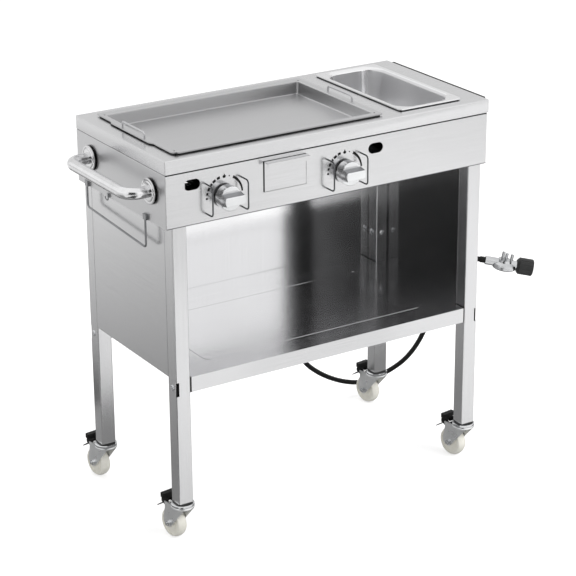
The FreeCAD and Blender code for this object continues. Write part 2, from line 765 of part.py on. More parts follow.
def griddle_handles():
    """Two U-shaped lifting rods welded to the griddle's rim."""
    rods = []
    top = RIM_TOP + GRIP_RISE - GRIP_ROD / 2
    left = GRIDDLE_LEFT - GRIDDLE_EAR + GRIP_LEFT_SET
    right = GRIDDLE_RIGHT - GRIP_RIGHT_SET
    for x, y in ((left, GRIP_LEFT_Y), (right, GRIP_RIGHT_Y)):
        y0 = y - GRIP_POSTS / 2
        y1 = y + GRIP_POSTS / 2
        rods.append(rod([(x, y0, RIM_TOP), (x, y0, top), (x, y1, top), (x, y1, RIM_TOP)],
                        GRIP_ROD / 2, GRIP_BEND))
    return group(rods)


def rim_seals():
    """Heat-proof strips under the griddle's rim, the pan's rim and the worktop's lip."""
    griddle_seal = plate(griddle_outline(TOP_H, SEAL_SET), RIM_SEAL)
    hole = plate(rounded_wire(griddle_cutout(), TOP_H - RIM_SEAL, TRAY_CORNER_R + RIM_THICK),
                 3 * RIM_SEAL)
    area = grown((PAN_LEFT, PAN_RIGHT, PAN_FRONT, PAN_BACK), -SEAL_SET)
    pan_seal = plate(rounded_wire(area, TOP_H, PAN_RIM_R), PAN_SEAL)
    pan_hole = plate(rounded_wire(pan_cutout(), TOP_H - PAN_SEAL, PAN_MOUTH_R + DROP_IN),
                     3 * PAN_SEAL)
    lip_area = (-HALF_W + GROOVE_SET, HALF_W - GROOVE_SET,
                -HALF_D + GROOVE_SET, HALF_D - GROOVE_SET)
    lip_seal = plate(rounded_wire(lip_area, BOX_TOP, BEND_R), GROOVE)
    lip_hole = plate(rounded_wire(grown(lip_area, GROOVE_SET - TOP_FLANGE), BOX_TOP - GROOVE,
                                  BEND_R), 3 * GROOVE)
    return group([griddle_seal.cut(hole), pan_seal.cut(pan_hole), lip_seal.cut(lip_hole)])


def pan_bowl(grow):
    """The pan's bowl as a solid: tapered walls, big corners and a rounded floor edge."""
    low = PAN_RIM_LOW + PAN_SHEET - PAN_DEEP - grow
    floor_r = PAN_FLOOR_R + grow
    bowl = tapered(grown(PAN_MOUTH, grow), PAN_RIM_LOW + PAN_SHEET, low, PAN_DRAFT,
                   PAN_MOUTH_R + grow, PAN_MOUTH_R + grow - PAN_DRAFT)
    edge = [e for e in bowl.Edges if e.BoundBox.ZMax < low + PAN_SHEET]
    return bowl.makeFillet(floor_r, edge)


def food_pan():
    area = (PAN_LEFT, PAN_RIGHT, PAN_FRONT, PAN_BACK)
    rim = plate(rounded_wire(area, PAN_RIM_LOW, PAN_RIM_R), PAN_SHEET)
    curl = plate(rounded_wire(area, PAN_RIM_LOW - PAN_CURL, PAN_RIM_R), PAN_CURL)
    curl = curl.cut(plate(rounded_wire(grown(area, -PAN_SHEET), PAN_RIM_LOW - 2 * PAN_CURL,
                                       PAN_RIM_R - PAN_SHEET), 3 * PAN_CURL))
    outside = pan_bowl(PAN_SHEET)
    return fuse([rim, curl, outside]).cut(pan_bowl(0))


# Knobs, valves and guards
def knob(x):
    """Round control knob: a drum with a broad tapered bar across its front to grip."""
    y = -BOX_Y - KNOB_GAP
    back = Vector(x, y, KNOB_Z)
    ahead = Vector(0, -1, 0)
    drum = revolved([(0, 0), (KNOB_R - KNOB_EDGE, 0), (KNOB_R, KNOB_EDGE),
                     (KNOB_R, KNOB_BODY - KNOB_EDGE), (KNOB_R - KNOB_EDGE, KNOB_BODY),
                     (0, KNOB_BODY)], back, ahead)
    root = y - KNOB_BODY + KNOB_EDGE
    front = y - KNOB_BODY - GRIP_BAR
    section = [Vector(x - KNOB_R, root, KNOB_Z - GRIP_BAR_H / 2),
               Vector(x - KNOB_R, root, KNOB_Z + GRIP_BAR_H / 2),
               Vector(x - KNOB_R, front, KNOB_Z + BAR_FRONT_H / 2),
               Vector(x - KNOB_R, front, KNOB_Z - BAR_FRONT_H / 2)]
    bar = Part.Face(Part.makePolygon(section + [section[0]])).extrude(Vector(2 * KNOB_R, 0, 0))
    cone = Part.makeCone(KNOB_R, BAR_FRONT_R, root - front, Vector(x, root, KNOB_Z), ahead)
    bar = bar.common(cone)
    bar = bar.makeFillet(BAR_EDGE, [e for e in bar.Edges if e.BoundBox.YMax < front + KNOB_EDGE])
    deep = STEM_OUT + KNOB_PUSH + SHEET
    bore = Part.makeCylinder(STEM_R + SHAFT_GAP, deep + SHEET, back + Vector(0, SHEET, 0), ahead)
    flat = box(x - STEM_R * 2, x + STEM_R * 2, y - KNOB_BODY, y + 2 * SHEET,
               KNOB_Z + STEM_R - STEM_FLAT + SHAFT_GAP, KNOB_Z + STEM_R * 2)
    return fuse([drum, bar]).cut(bore.cut(flat))


def valve_stem(x):
    """D-shaped shaft from the valve to the knob, turning in the valve."""
    front = -BOX_Y - KNOB_GAP - STEM_OUT
    start = valve_face()
    shaft = cylinder(STEM_R, Vector(x, start + STEM_IN / 3, KNOB_Z), Vector(x, front, KNOB_Z))
    flat = box(x - STEM_R * 2, x + STEM_R * 2, front - SHEET, -BOX_IN_Y, KNOB_Z + STEM_R - STEM_FLAT,
               KNOB_Z + STEM_R * 2)
    return shaft.cut(flat)


def valve_face():
    return -BOX_IN_Y + SLIP * 3


def gas_valve(x):
    """Brass valve on the manifold: bonnet behind the panel, spigot below, jet to the burner."""
    face = valve_face()
    start = Vector(x, face, KNOB_Z)
    bonnet = cylinder(STEM_R * 2.4, start, start + Vector(0, STEM_IN / 2, 0))
    half = MANIFOLD_R
    body = box(x - half, x + half, face + STEM_IN / 3, face + STEM_IN * 1.1,
               KNOB_Z - half, KNOB_Z + half)
    spigot = cylinder(FEED_R, Vector(x, MANIFOLD_Y, MANIFOLD_Z + MANIFOLD_R * 0.9),
                      Vector(x, MANIFOLD_Y, KNOB_Z))
    jet_end = BURNER_FRONT - VENTURI_LONG - SLIP * 10
    jet = cylinder(STEM_R, Vector(x, face + STEM_IN, KNOB_Z), Vector(x, jet_end, KNOB_Z))
    bore = cylinder(STEM_R + SHAFT_GAP, Vector(x, face - SHEET, KNOB_Z),
                    Vector(x, face + STEM_IN / 3 + SHAFT_GAP, KNOB_Z))
    manifold = cylinder(MANIFOLD_R, Vector(x - TOP_D, MANIFOLD_Y, MANIFOLD_Z),
                        Vector(x + TOP_D, MANIFOLD_Y, MANIFOLD_Z))
    return fuse([bonnet, body, spigot, jet]).cut([bore, manifold])


def knob_guards():
    """Wire loops on each side of a knob that keep it from being knocked."""
    loops = []
    face = -BOX_Y
    out = face - GUARD_OUT + GUARD_ROD / 2
    top = TOP_H - GUARD_TOP_DROP - GUARD_ROD / 2
    low = TOP_H - GUARD_LOW_DROP + GUARD_ROD / 2
    for x in KNOB_X:
        for side in (-GUARD_X, GUARD_X):
            loops.append(rod([(x + side, face, top), (x + side, out, top),
                              (x + side, out, low), (x + side, face, low)],
                             GUARD_ROD / 2, GUARD_BEND))
    return group(loops)


# Gas manifold and burners
def gas_manifold():
    left = KNOB_X[0] - MANIFOLD_END
    main = cylinder(MANIFOLD_R, Vector(left, MANIFOLD_Y, MANIFOLD_Z),
                    Vector(INLET_X + MANIFOLD_R, MANIFOLD_Y, MANIFOLD_Z))
    feed = cylinder(FEED_R, Vector(INLET_X, MANIFOLD_Y, MANIFOLD_Z),
                    Vector(INLET_X, BOX_Y, MANIFOLD_Z))
    return fuse([main, feed])


def burner(x):
    """U-shaped tube burner: air mouth in front, slots along the top, closed far end."""
    z = KNOB_Z
    side = -BURNER_SPREAD if x < 0 else BURNER_SPREAD
    bend = BURNER_SPREAD / 2 - SLIP
    tube_path = [(x, BURNER_FRONT, z), (x, BURNER_BACK, z), (x + side, BURNER_BACK, z),
                 (x + side, BURNER_FRONT, z)]
    tube = rod(tube_path, BURNER_R, bend)
    mouth = revolved([(0, 0), (VENTURI_R, 0), (VENTURI_R, VENTURI_LONG / 2),
                      (BURNER_R, VENTURI_LONG), (0, VENTURI_LONG)],
                     Vector(x, BURNER_FRONT - VENTURI_LONG, z), Vector(0, 1, 0))
    mouth_bore = cylinder(VENTURI_R - BURNER_WALL, Vector(x, BURNER_FRONT - VENTURI_LONG - SHEET, z),
                          Vector(x, BURNER_FRONT - VENTURI_LONG / 2, z))
    bore = cylinder(BURNER_R - BURNER_WALL, Vector(x, BURNER_FRONT - VENTURI_LONG, z),
                    Vector(x, BURNER_BACK - BURNER_SPREAD / 2, z))
    slots = []
    step = (BURNER_BACK - BURNER_SPREAD / 2 - BURNER_FRONT) / PORTS
    for i in range(PORTS):
        y = BURNER_FRONT + (i + 0.5) * step
        slots.append(box(x - BURNER_R / 2, x + BURNER_R / 2, y - SHEET, y + SHEET,
                         z + BURNER_R / 2, z + BURNER_R * 2))
    legs = []
    for y in (BURNER_FRONT + LEG, BURNER_BACK - BURNER_SPREAD / 2):
        legs.append(box(min(x, x + side), max(x, x + side), y - SHEET, y + SHEET,
                        FLOOR_SHEET + SHEET, z - BURNER_R * 0.8))
    return fuse([tube, mouth] + legs).cut([mouth_bore, bore] + slots)


# Grease drawer
def grease_drawer():
    """Pull-out tray whose front lies flush in the panel, with a lip turned down to pull."""
    x0 = DRAWER_LEFT
    x1 = DRAWER_RIGHT
    face = -BOX_Y
    front = box(x0, x1, face, face + SHEET, DRAWER_LOW, DRAWER_TOP)
    lip = box(x0, x1, face - DRAWER_LIP, face + SHEET, DRAWER_TOP - SHEET, DRAWER_TOP)
    turn = box(x0, x1, face - DRAWER_LIP, face - DRAWER_LIP + SHEET, DRAWER_TOP - DRAWER_TURN,
               DRAWER_TOP)
    gap = DRAWER_GAP + SHEET
    back = face + DRAWER_LONG
    low = DRAWER_LOW + SHEET
    tray = box(x0 + gap, x1 - gap, face, back, low, low + DRAWER_TRAY_H)
    hollow = box(x0 + gap + SHEET, x1 - gap - SHEET, face + SHEET, back - SHEET, low + SHEET,
                 DRAWER_TOP)
    return fuse([fuse([front, lip, turn]), tray.cut(hollow)])


def drawer_cradle():
    """Channel that carries the drawer, from the front panel to a foot on the box's floor."""
    gap = DRAWER_GAP + SHEET - SLIP
    x0 = DRAWER_LEFT + gap - SHEET
    x1 = DRAWER_RIGHT - gap + SHEET
    top = DRAWER_LOW + SHEET - SLIP
    front = -BOX_IN_Y
    back = -BOX_Y + DRAWER_LONG
    base = box(x0, x1, front, back, top - SHEET, top)
    walls = [box(min(x, x + s * SHEET), max(x, x + s * SHEET), front, back, top - SHEET,
                 top + CRADLE_WALL) for s, x in ((1, x0), (-1, x1))]
    ears = [box(min(x, x + s * TOP_FLANGE), max(x, x + s * TOP_FLANGE), front, front + SHEET,
                top - SHEET, top + CRADLE_WALL) for s, x in ((-1, x0), (1, x1))]
    foot = box(x0, x1, back - SHEET, back, FLOOR_SHEET + SHEET, top)
    return fuse([base, foot] + walls + ears)


# Push handle, tool rail and hook
def push_handle():
    """Bent tube on the left end that the cart is pushed by."""
    start = -BOX_X - ROSE_SEAT
    path = [(start, HANDLE_BACK, HANDLE_Z), (HANDLE_X, HANDLE_BACK, HANDLE_Z),
            (HANDLE_X, HANDLE_FRONT, HANDLE_Z), (start, HANDLE_FRONT, HANDLE_Z)]
    outer = rod(path, HANDLE_TUBE / 2, HANDLE_BEND)
    return outer.cut(rod(path, HANDLE_TUBE / 2 - HANDLE_WALL, HANDLE_BEND))


def handle_roses():
    """Stepped round flanges that seat the handle's ends on the burner box."""
    bore = HANDLE_TUBE / 2
    collar = bore + ROSE_COLLAR
    profile = [(0, 0), (ROSE_R, 0), (ROSE_R, ROSE_DISC - ROSE_EDGE), (ROSE_R - ROSE_EDGE, ROSE_DISC),
               (ROSE_RING_R, ROSE_DISC), (ROSE_RING_R, ROSE_RING - ROSE_EDGE),
               (ROSE_RING_R - ROSE_EDGE, ROSE_RING), (collar, ROSE_RING), (collar, ROSE_THICK),
               (bore, ROSE_THICK), (bore, ROSE_SEAT), (0, ROSE_SEAT)]
    return group([revolved(profile, Vector(-BOX_X, y, HANDLE_Z), Vector(-1, 0, 0))
                  for y in (HANDLE_FRONT, HANDLE_BACK)])


def tool_rail():
    """Wire rail for tools, hung by two flat tabs from the burner box's left edge."""
    x = -BOX_X - RAIL_OUT - RAIL_ROD / 2
    top = BOX_LOW + RAIL_TAB / 2
    points = [(x, RAIL_BACK, top), (x, RAIL_BACK, TOP_H - RAIL_BACK_DROP),
              (x, RAIL_FRONT, TOP_H - RAIL_FRONT_DROP), (x, RAIL_FRONT, top)]
    bar = rod(points, RAIL_ROD / 2, RAIL_BEND)
    tabs = [box(x - RAIL_ROD / 2, -BOX_X, y - RAIL_TAB / 2, y + RAIL_TAB / 2, BOX_LOW,
                BOX_LOW + RAIL_TAB) for y in (RAIL_FRONT, RAIL_BACK)]
    return fuse([bar] + tabs)


def utensil_hook():
    """Small J-shaped hook under the push handle, on a tab at the burner box's lower edge."""
    x = -BOX_X - RAIL_OUT - HOOK_ROD / 2
    y = HOOK_Y
    reach = RAIL_TAB / 2
    top = BOX_LOW + RAIL_TAB * 0.6
    wire = rod([(x, y - reach, top), (x, y - reach, BOX_LOW - reach),
                (x, y + reach, BOX_LOW - reach), (x, y + reach, BOX_LOW)], HOOK_ROD / 2,
               reach * 0.7)
    tab = box(x - HOOK_ROD / 2, -BOX_X, y - reach - HOOK_ROD, y - reach + HOOK_ROD,
              BOX_LOW + SHEET, top + HOOK_ROD)
    return fuse([wire, tab])


# Casters, built about the stem's axis with the wheel trailing towards +Y
def caster_placement(sign):
    place = Vector(sign[0] * LEG_MID_X, sign[1] * LEG_MID_Y, 0)
    return FreeCAD.Placement(place, FreeCAD.Rotation(UP, CASTER_TURN))


def at_corner(shape, sign):
    copy = shape.copy()
    copy.Placement = caster_placement(sign).multiply(copy.Placement)
    return copy


def leg_plug():
    """Black insert in the leg's foot that takes the caster's threaded stem."""
    half = LEG / 2
    area = (-half, half, -half, half)
    rim = plate(rounded_wire(area, RACE_TOP, LEG_CORNER_R), PLUG_RIM)
    body = plate(rounded_wire(grown(area, -LEG_WALL - SLIP), RACE_TOP, LEG_CORNER_R), PLUG_LONG)
    hole = cylinder(KING_R, Vector(0, 0, RACE_TOP - 1), Vector(0, 0, RACE_TOP + PLUG_LONG + 1))
    return fuse([rim, body]).cut(hole)


def caster_top():
    """Fixed half of the swivel: threaded stem, upper race and the kingpin with its head."""
    disc_low = RACE_TOP - RACE_THICK
    groove_low = disc_low - RACE_GROOVE
    head_top = CROWN_LOW - PLAY
    round_off = RACE_THICK / 3
    profile = [(0, head_top - KING_HEAD), (KING_HEAD_R - 1, head_top - KING_HEAD),
               (KING_HEAD_R, head_top - KING_HEAD + 1), (KING_HEAD_R, head_top),
               (KING_R, head_top), (KING_R, groove_low), (RACE_INNER_R, groove_low),
               (RACE_INNER_R, disc_low), (RACE_R, disc_low), (RACE_R, RACE_TOP - round_off),
               (RACE_R - round_off, RACE_TOP), (KING_R, RACE_TOP),
               (KING_R, RACE_TOP + PLUG_LONG), (0, RACE_TOP + PLUG_LONG)]
    return revolved(profile)


def tangent_point(point, centre, radius, side):
    """Where a line from the point touches a circle, on the chosen side, in the YZ plane."""
    dy = point[0] - centre[0]
    dz = point[1] - centre[1]
    away = math.hypot(dy, dz)
    angle = math.atan2(dz, dy) + side * math.acos(radius / away)
    return (centre[0] + radius * math.cos(angle), centre[1] + radius * math.sin(angle))


def fork_plate(x0, x1):
    """Cheek of the fork: out behind the crown for the pedal, and down to a lobe at the axle."""
    centre = (TRAIL + LOBE_BACK, WHEEL_R + LOBE_UP)
    top = CROWN_LOW + SHEET
    front = (-FORK_FRONT, top)
    waist = (FORK_WAIST, PEDAL_PIN_Z - FORK_LOBE_R * 0.6)
    touch_front = tangent_point(front, centre, FORK_LOBE_R, 1)
    touch_waist = tangent_point(waist, centre, FORK_LOBE_R, -1)
    below = (centre[0], centre[1] - FORK_LOBE_R)
    spot = [Vector(x0, y, z) for y, z in (front, touch_front, below, touch_waist, waist,
                                          (FORK_BACK, top - SHEET), (FORK_BACK - SHEET, top))]
    edges = [Part.LineSegment(spot[0], spot[1]).toShape(),
             Part.Arc(spot[1], spot[2], spot[3]).toShape()]
    corners = spot[3:] + [spot[0]]
    edges += [Part.LineSegment(a, b).toShape() for a, b in zip(corners, corners[1:])]
    return Part.Face(Part.Wire(edges)).extrude(Vector(x1 - x0, 0, 0))


def caster_fork():
    """Turning half of the swivel: crown, two cheeks and the brake's cross pin."""
    round_off = CROWN_THICK / 3
    crown = revolved([(KING_R + SHAFT_GAP, CROWN_LOW), (RACE_R - round_off, CROWN_LOW),
                      (RACE_R, CROWN_LOW + round_off), (RACE_R, CROWN_TOP - round_off),
                      (RACE_R - round_off / 2, CROWN_TOP), (KING_R + SHAFT_GAP, CROWN_TOP)])
    half = FORK_IN / 2
    cheeks = [fork_plate(half, half + FORK_PLATE), fork_plate(-half - FORK_PLATE, -half)]
    reach = half + FORK_PLATE + 1
    pin = cylinder(PEDAL_PIN_R, Vector(-reach, PEDAL_PIN_Y, PEDAL_PIN_Z),
                   Vector(reach, PEDAL_PIN_Y, PEDAL_PIN_Z))
    axle = cylinder(AXLE_R, Vector(-reach, TRAIL, WHEEL_R), Vector(reach, TRAIL, WHEEL_R))
    return fuse([crown, pin] + cheeks).cut(axle)


def caster_axle():
    """Axle bolt through the cheeks, with a domed head and a hexagon nut on its stub."""
    reach = FORK_IN / 2 + FORK_PLATE
    shank = cylinder(AXLE_R, Vector(-reach - AXLE_HEAD - AXLE_STUB, TRAIL, WHEEL_R),
                     Vector(reach, TRAIL, WHEEL_R))
    head = revolved([(0, 0), (AXLE_HEAD_R, 0), (AXLE_HEAD_R, AXLE_HEAD * 0.4),
                     (AXLE_HEAD_R * 0.6, AXLE_HEAD), (0, AXLE_HEAD)],
                    Vector(reach, TRAIL, WHEEL_R), Vector(1, 0, 0))
    nut = hexagon(AXLE_HEAD_R, Vector(-reach, TRAIL, WHEEL_R), AXLE_HEAD, Vector(-1, 0, 0))
    return fuse([shank, head, nut])


def caster_wheel():
    """Nylon wheel with a crowned tread, a ring on each face and a hub."""
    half = WHEEL_W / 2
    side_r = WHEEL_R - WHEEL_CROWN
    ring_out = WHEEL_R - 9.0
    ring_in = ring_out - 8.0
    ring_deep = 1.5
    points = [(AXLE_R + SHAFT_GAP, -HUB_W / 2), (HUB_R, -HUB_W / 2), (HUB_R, -half),
              (ring_in, -half), (ring_in, -half + ring_deep), (ring_out, -half + ring_deep),
              (ring_out, -half), (side_r - 1, -half), (side_r, -half + 1)]
    mirror = [(r, -h) for r, h in reversed(points)]
    edges = []
    place = [Vector(r, 0, h) for r, h in points]
    far = [Vector(r, 0, h) for r, h in mirror]
    chain = place + [None] + far
    for a, b in zip(chain, chain[1:]):
        if a is not None and b is not None:
            edges.append(Part.LineSegment(a, b).toShape())
    edges.append(Part.Arc(place[-1], Vector(WHEEL_R, 0, 0), far[0]).toShape())
    edges.append(Part.LineSegment(far[-1], place[0]).toShape())
    face = Part.Face(Part.Wire(Part.__sortEdges__(edges)))
    wheel = face.revolve(Vector(0, 0, 0), UP, 360)
    return placed(wheel, Vector(0, TRAIL, WHEEL_R), Vector(1, 0, 0))


def swung(outline, x0, x1):
    """A plate across the caster from an outline of (y, z) points counted from the pedal's pin."""
    points = [Vector(x0, PEDAL_PIN_Y + y, PEDAL_PIN_Z + z) for y, z in outline]
    return Part.Face(Part.makePolygon(points + [points[0]])).extrude(Vector(x1 - x0, 0, 0))


def caster_pedal():
    """Brake lever on the fork's cross pin: shoe over the wheel, rubber pad and release tab."""
    half = PEDAL_W / 2
    thick = PEDAL_SHEET
    cheek = [(-5, -3), (-4, 5), (PAD_NEAR - 2, PAD_UP), (PAD_FAR, PAD_UP), (PAD_FAR + 5, 5),
             (PAD_FAR + 6, -1), (PAD_FAR + 1, -5), (10, -9), (8, -12), (3, -11)]
    sides = [swung(cheek, x, x + thick) for x in (-half, half - thick)]
    top = swung([(PAD_NEAR - 2, PAD_UP - thick), (PAD_NEAR - 2, PAD_UP), (PAD_FAR, PAD_UP),
                 (PAD_FAR, PAD_UP - thick)], -half, half)
    shoe = swung([(3, -11), (8, -12), (10, -9), (5, -7)], -half, half)
    root = PAD_FAR - 1
    tab = swung([(root, -3), (TAB_REACH, -TAB_LOW), (TAB_REACH - 1, -TAB_LOW - thick),
                 (root - 1, -3 - thick)], -TAB_W / 2, TAB_W / 2)
    bridge = swung([(root - 1, -3 - thick), (root + 6, -3 - thick), (root + 6, -1), (root, -1)],
                   -half, half)
    bore = cylinder(PEDAL_PIN_R + SHAFT_GAP, Vector(-half - 1, PEDAL_PIN_Y, PEDAL_PIN_Z),
                    Vector(half + 1, PEDAL_PIN_Y, PEDAL_PIN_Z))
    lever = fuse(sides + [top, shoe, bridge, tab]).cut(bore)
    pad_area = (-PAD_W / 2, PAD_W / 2, PEDAL_PIN_Y + PAD_NEAR, PEDAL_PIN_Y + PAD_FAR + 1)
    pad = plate(rounded_wire(pad_area, PEDAL_PIN_Z + PAD_UP, PAD_THICK / 4), PAD_THICK)
    return group([lever, pad])


# Gas inlet, hose and regulator
def gas_inlet():
    """Elbow on the back of the burner box that the hose hangs from."""
    start = Vector(INLET_X, BOX_Y, MANIFOLD_Z)
    centre = start + Vector(0, INLET_OUT, 0)
    end = centre - Vector(0, 0, INLET_DROP)
    run = cylinder(FEED_R, start, centre)
    nut = hexagon(FEED_R * 1.6, start, 8.0, Vector(0, 1, 0))
    ball = Part.makeSphere(FEED_R, centre)
    drop = cylinder(FEED_R, end, centre)
    return fuse([run, nut, ball, drop])


def hexagon(radius, start, height, axis):
    corners = [Vector(radius * math.cos(a), radius * math.sin(a), 0)
               for a in [math.radians(60 * i) for i in range(6)]]
    prism = Part.Face(Part.makePolygon(corners + [corners[0]])).extrude(Vector(0, 0, height))
    return placed(prism, start, axis)


def gas_hose():
    """Rubber hose along its route, with each bend as wide as its two runs allow."""
    points = [Vector(*p) for p in HOSE_ROUTE]
    radii = []
    for a, b, c in zip(points, points[1:], points[2:]):
        turn = (b - a).getAngle(c - b)
        short = min((b - a).Length, (c - b).Length)
        radii.append(ARC_SHARE * short / math.tan(turn / 2))
    edges, length = path_edges(points, radii)
    circle = Part.Circle(points[0], points[1] - points[0], HOSE_R).toShape()
    hose = Part.Wire(edges).makePipeShell([Part.Wire([circle])], True, False)
    print("hose bend radii:", [round(r) for r in radii])
    print("hose length %.1f, volume over section times length %.5f"
          % (length, hose.Volume / (math.pi * HOSE_R ** 2 * length)))
    return hose


def regulator_axis():
    """Start of the regulator at the hose's end, and its direction."""
    last = Vector(*HOSE_ROUTE[-1])
    return last, (last - Vector(*HOSE_ROUTE[-2])).normalize()


def hose_ferrules():
    """Crimped sleeves at the hose's two ends."""
    last, ahead = regulator_axis()
    sleeves = []
    first = Vector(*HOSE_ROUTE[0])
    away = (first - Vector(*HOSE_ROUTE[1])).normalize()
    for end, way in ((last, ahead), (first, away)):
        bore = cylinder(HOSE_R, end - way * FERRULE_LONG * 0.7, end)
        whole = cylinder(FERRULE_R, end - way * FERRULE_LONG * 0.7, end + way * 0)
        sleeves.append(whole.cut(bore))
    return group(sleeves)


def regulator_body():
    """Pressure regulator: round diaphragm housing on a barrel, with its vent and lugs."""
    start, ahead = regulator_axis()
    side = ahead.cross(UP).normalize()
    up = side.cross(ahead).normalize()
    barrel = cylinder(REG_BODY_R, start, start + ahead * (FERRULE_LONG + REG_LONG))
    middle = start + ahead * (FERRULE_LONG + REG_LONG / 2)
    disc = revolved([(0, 0), (REG_R - 3, 0), (REG_R, 3), (REG_R, REG_DISC * 0.4),
                     (REG_R - 2, REG_DISC * 0.55), (REG_R * 0.62, REG_DISC * 0.75),
                     (REG_R * 0.55, REG_DISC), (0, REG_DISC)],
                    middle - up * REG_DISC * 0.55, up)
    lugs = []
    for along, tall in ((-7.0, 30.0), (2.0, 27.0), (16.0, 26.0)):
        foot = middle + ahead * along
        lugs.append(cylinder(4.0, foot, foot + up * tall))
    neck_end = start + ahead * (FERRULE_LONG + REG_LONG + SLIP)
    bore = cylinder(NIPPLE_R, neck_end - ahead * 8, neck_end + ahead * 8)
    return fuse([barrel, disc] + lugs).cut(bore)


def regulator_nipple():
    """Brass nozzle that seals in the gas bottle's valve, held in the regulator's neck."""
    start, ahead = regulator_axis()
    root = start + ahead * (FERRULE_LONG + REG_LONG + SLIP - 8)
    shoulder = root + ahead * (NIPPLE_LONG - 26)
    profile = [(0, 0), (NIPPLE_R, 0), (NIPPLE_R, NIPPLE_LONG - 26), (NIPPLE_R + 3, NIPPLE_LONG - 26),
               (NIPPLE_R + 3, NIPPLE_LONG - 22), (NIPPLE_R, NIPPLE_LONG - 22),
               (NIPPLE_R, NIPPLE_LONG - 3), (NIPPLE_R - 2, NIPPLE_LONG), (0, NIPPLE_LONG)]
    nose = revolved(profile, root, ahead)
    return nose.cut(cylinder(NIPPLE_BORE_R, shoulder, shoulder + ahead * NIPPLE_LONG))


def cylinder_nut():
    """Black hand nut, free to spin on the nipple, with grip flutes round it."""
    start, ahead = regulator_axis()
    root = start + ahead * (FERRULE_LONG + REG_LONG + 2 * SLIP)
    wall = NUT_LONG - NUT_CAVITY
    profile = [(NIPPLE_R + SHAFT_GAP, 0), (NUT_R * 0.7, 0), (NUT_R, 6), (NUT_R, NUT_LONG - 2),
               (NUT_R - 2, NUT_LONG), (NUT_CAVITY_R, NUT_LONG), (NUT_CAVITY_R, wall - 4.6),
               (NIPPLE_R + SHAFT_GAP, wall - 4.6)]
    nut = revolved(profile)
    flutes = []
    for i in range(NUT_FLUTES):
        a = 2 * math.pi * i / NUT_FLUTES
        spot = Vector((NUT_R + 1.2) * math.cos(a), (NUT_R + 1.2) * math.sin(a), 8)
        flutes.append(Part.makeCylinder(2.4, NUT_LONG, spot))
    return placed(nut.cut(flutes), root, ahead)


def clip_place():
    """Middle of the hose's run through its clip, and the run's direction."""
    a = Vector(*HOSE_ROUTE[-4])
    b = Vector(*HOSE_ROUTE[-3])
    return (a + b) * 0.5, (b - a).normalize()


def clip_screw_z():
    middle, _ = clip_place()
    return middle.z - HOSE_R - CLIP_WIDTH * 1.6


def hose_clip():
    """P-clip that holds the hose to the right panel by a screwed foot below it."""
    middle, way = clip_place()
    start = middle - way * CLIP_WIDTH / 2
    end = middle + way * CLIP_WIDTH / 2
    ring = cylinder(HOSE_R + SLIP + CLIP_BAND, start, end)
    half = CLIP_WIDTH / 2
    neck_top = middle.z - HOSE_R / 2
    neck = box(PANEL_X, middle.x, middle.y - half, middle.y + half, neck_top - HOSE_R * 1.3,
               neck_top)
    foot = box(PANEL_X, PANEL_X + CLIP_BAND * 1.5, middle.y - half, middle.y + half,
               clip_screw_z() - SCREW_HEAD_R - SHEET, neck_top)
    bore = cylinder(HOSE_R + SLIP, start - way * LEG, end + way * LEG)
    hole = cylinder(SCREW_R, Vector(PANEL_X - SHEET, middle.y, clip_screw_z()),
                    Vector(PANEL_X + LEG, middle.y, clip_screw_z()))
    return fuse([ring, neck, foot]).cut([bore, hole])


def build():
    """Every sub-part by its node's name, laid out about the worktop's middle."""
    parts = {
        "worktop": worktop(),
        "burner_box": burner_box(),
        "box_floor": box_floor(),
        "heat_baffle": heat_baffle(),
        "left_panel": side_panel(-1),
        "right_panel": side_panel(1),
        "back_panel": back_panel(),
        "shelf": shelf(),
        "shelf_spacers": group([shelf_spacer(sign) for sign in CORNERS.values()]),
        "leg_inserts": group([leg_insert(sign) for sign in CORNERS.values()]),
        "bumper_strip": bumper_strip(),
        "griddle": griddle(),
        "griddle_handles": griddle_handles(),
        "rim_seals": rim_seals(),
        "food_pan": food_pan(),
        "knob_guards": knob_guards(),
        "gas_valves": group([gas_valve(x) for x in KNOB_X]),
        "gas_manifold": gas_manifold(),
        "burners": group([burner(x) for x in KNOB_X]),
        "grease_drawer": grease_drawer(),
        "drawer_cradle": drawer_cradle(),
        "push_handle": push_handle(),
        "handle_roses": handle_roses(),
        "tool_rail": tool_rail(),
        "utensil_hook": utensil_hook(),
        "leg_plugs": group([leg_plug_at(sign) for sign in CORNERS.values()]),
        "caster_tops": group([at_corner(caster_top(), sign) for sign in CORNERS.values()]),
        "gas_inlet": gas_inlet(),
        "gas_hose": gas_hose(),
        "hose_ferrules": hose_ferrules(),
        "hose_clip": hose_clip(),
        "regulator_body": regulator_body(),
        "regulator_nipple": regulator_nipple(),
        "cylinder_nut": cylinder_nut(),
    }
    for side, x in zip(("left", "right"), KNOB_X):
        parts["knob_" + side] = knob(x)
        parts["valve_stem_" + side] = valve_stem(x)
    for name, sign in CORNERS.items():
        parts["leg_" + name] = leg(sign)
        parts["caster_fork_" + name] = at_corner(caster_fork(), sign)
        parts["caster_axle_" + name] = at_corner(caster_axle(), sign)
        parts["caster_wheel_" + name] = at_corner(caster_wheel(), sign)
        parts["caster_pedal_" + name] = at_corner(caster_pedal(), sign)
    places = frame_screws()
    holes = [screw_hole(at, axis) for at, axis in places]
    for name in [n for n in parts if n.startswith("leg_") and n != "leg_plugs"]:
        parts[name] = parts[name].cut(holes)
    for name in ("left_panel", "right_panel", "back_panel"):
        parts[name] = parts[name].cut(holes)
    parts["frame_screws"] = group([screw(at, axis) for at, axis in places])
    return parts


def leg_plug_at(sign):
    return leg_plug().translated(Vector(sign[0] * LEG_MID_X, sign[1] * LEG_MID_Y, 0))


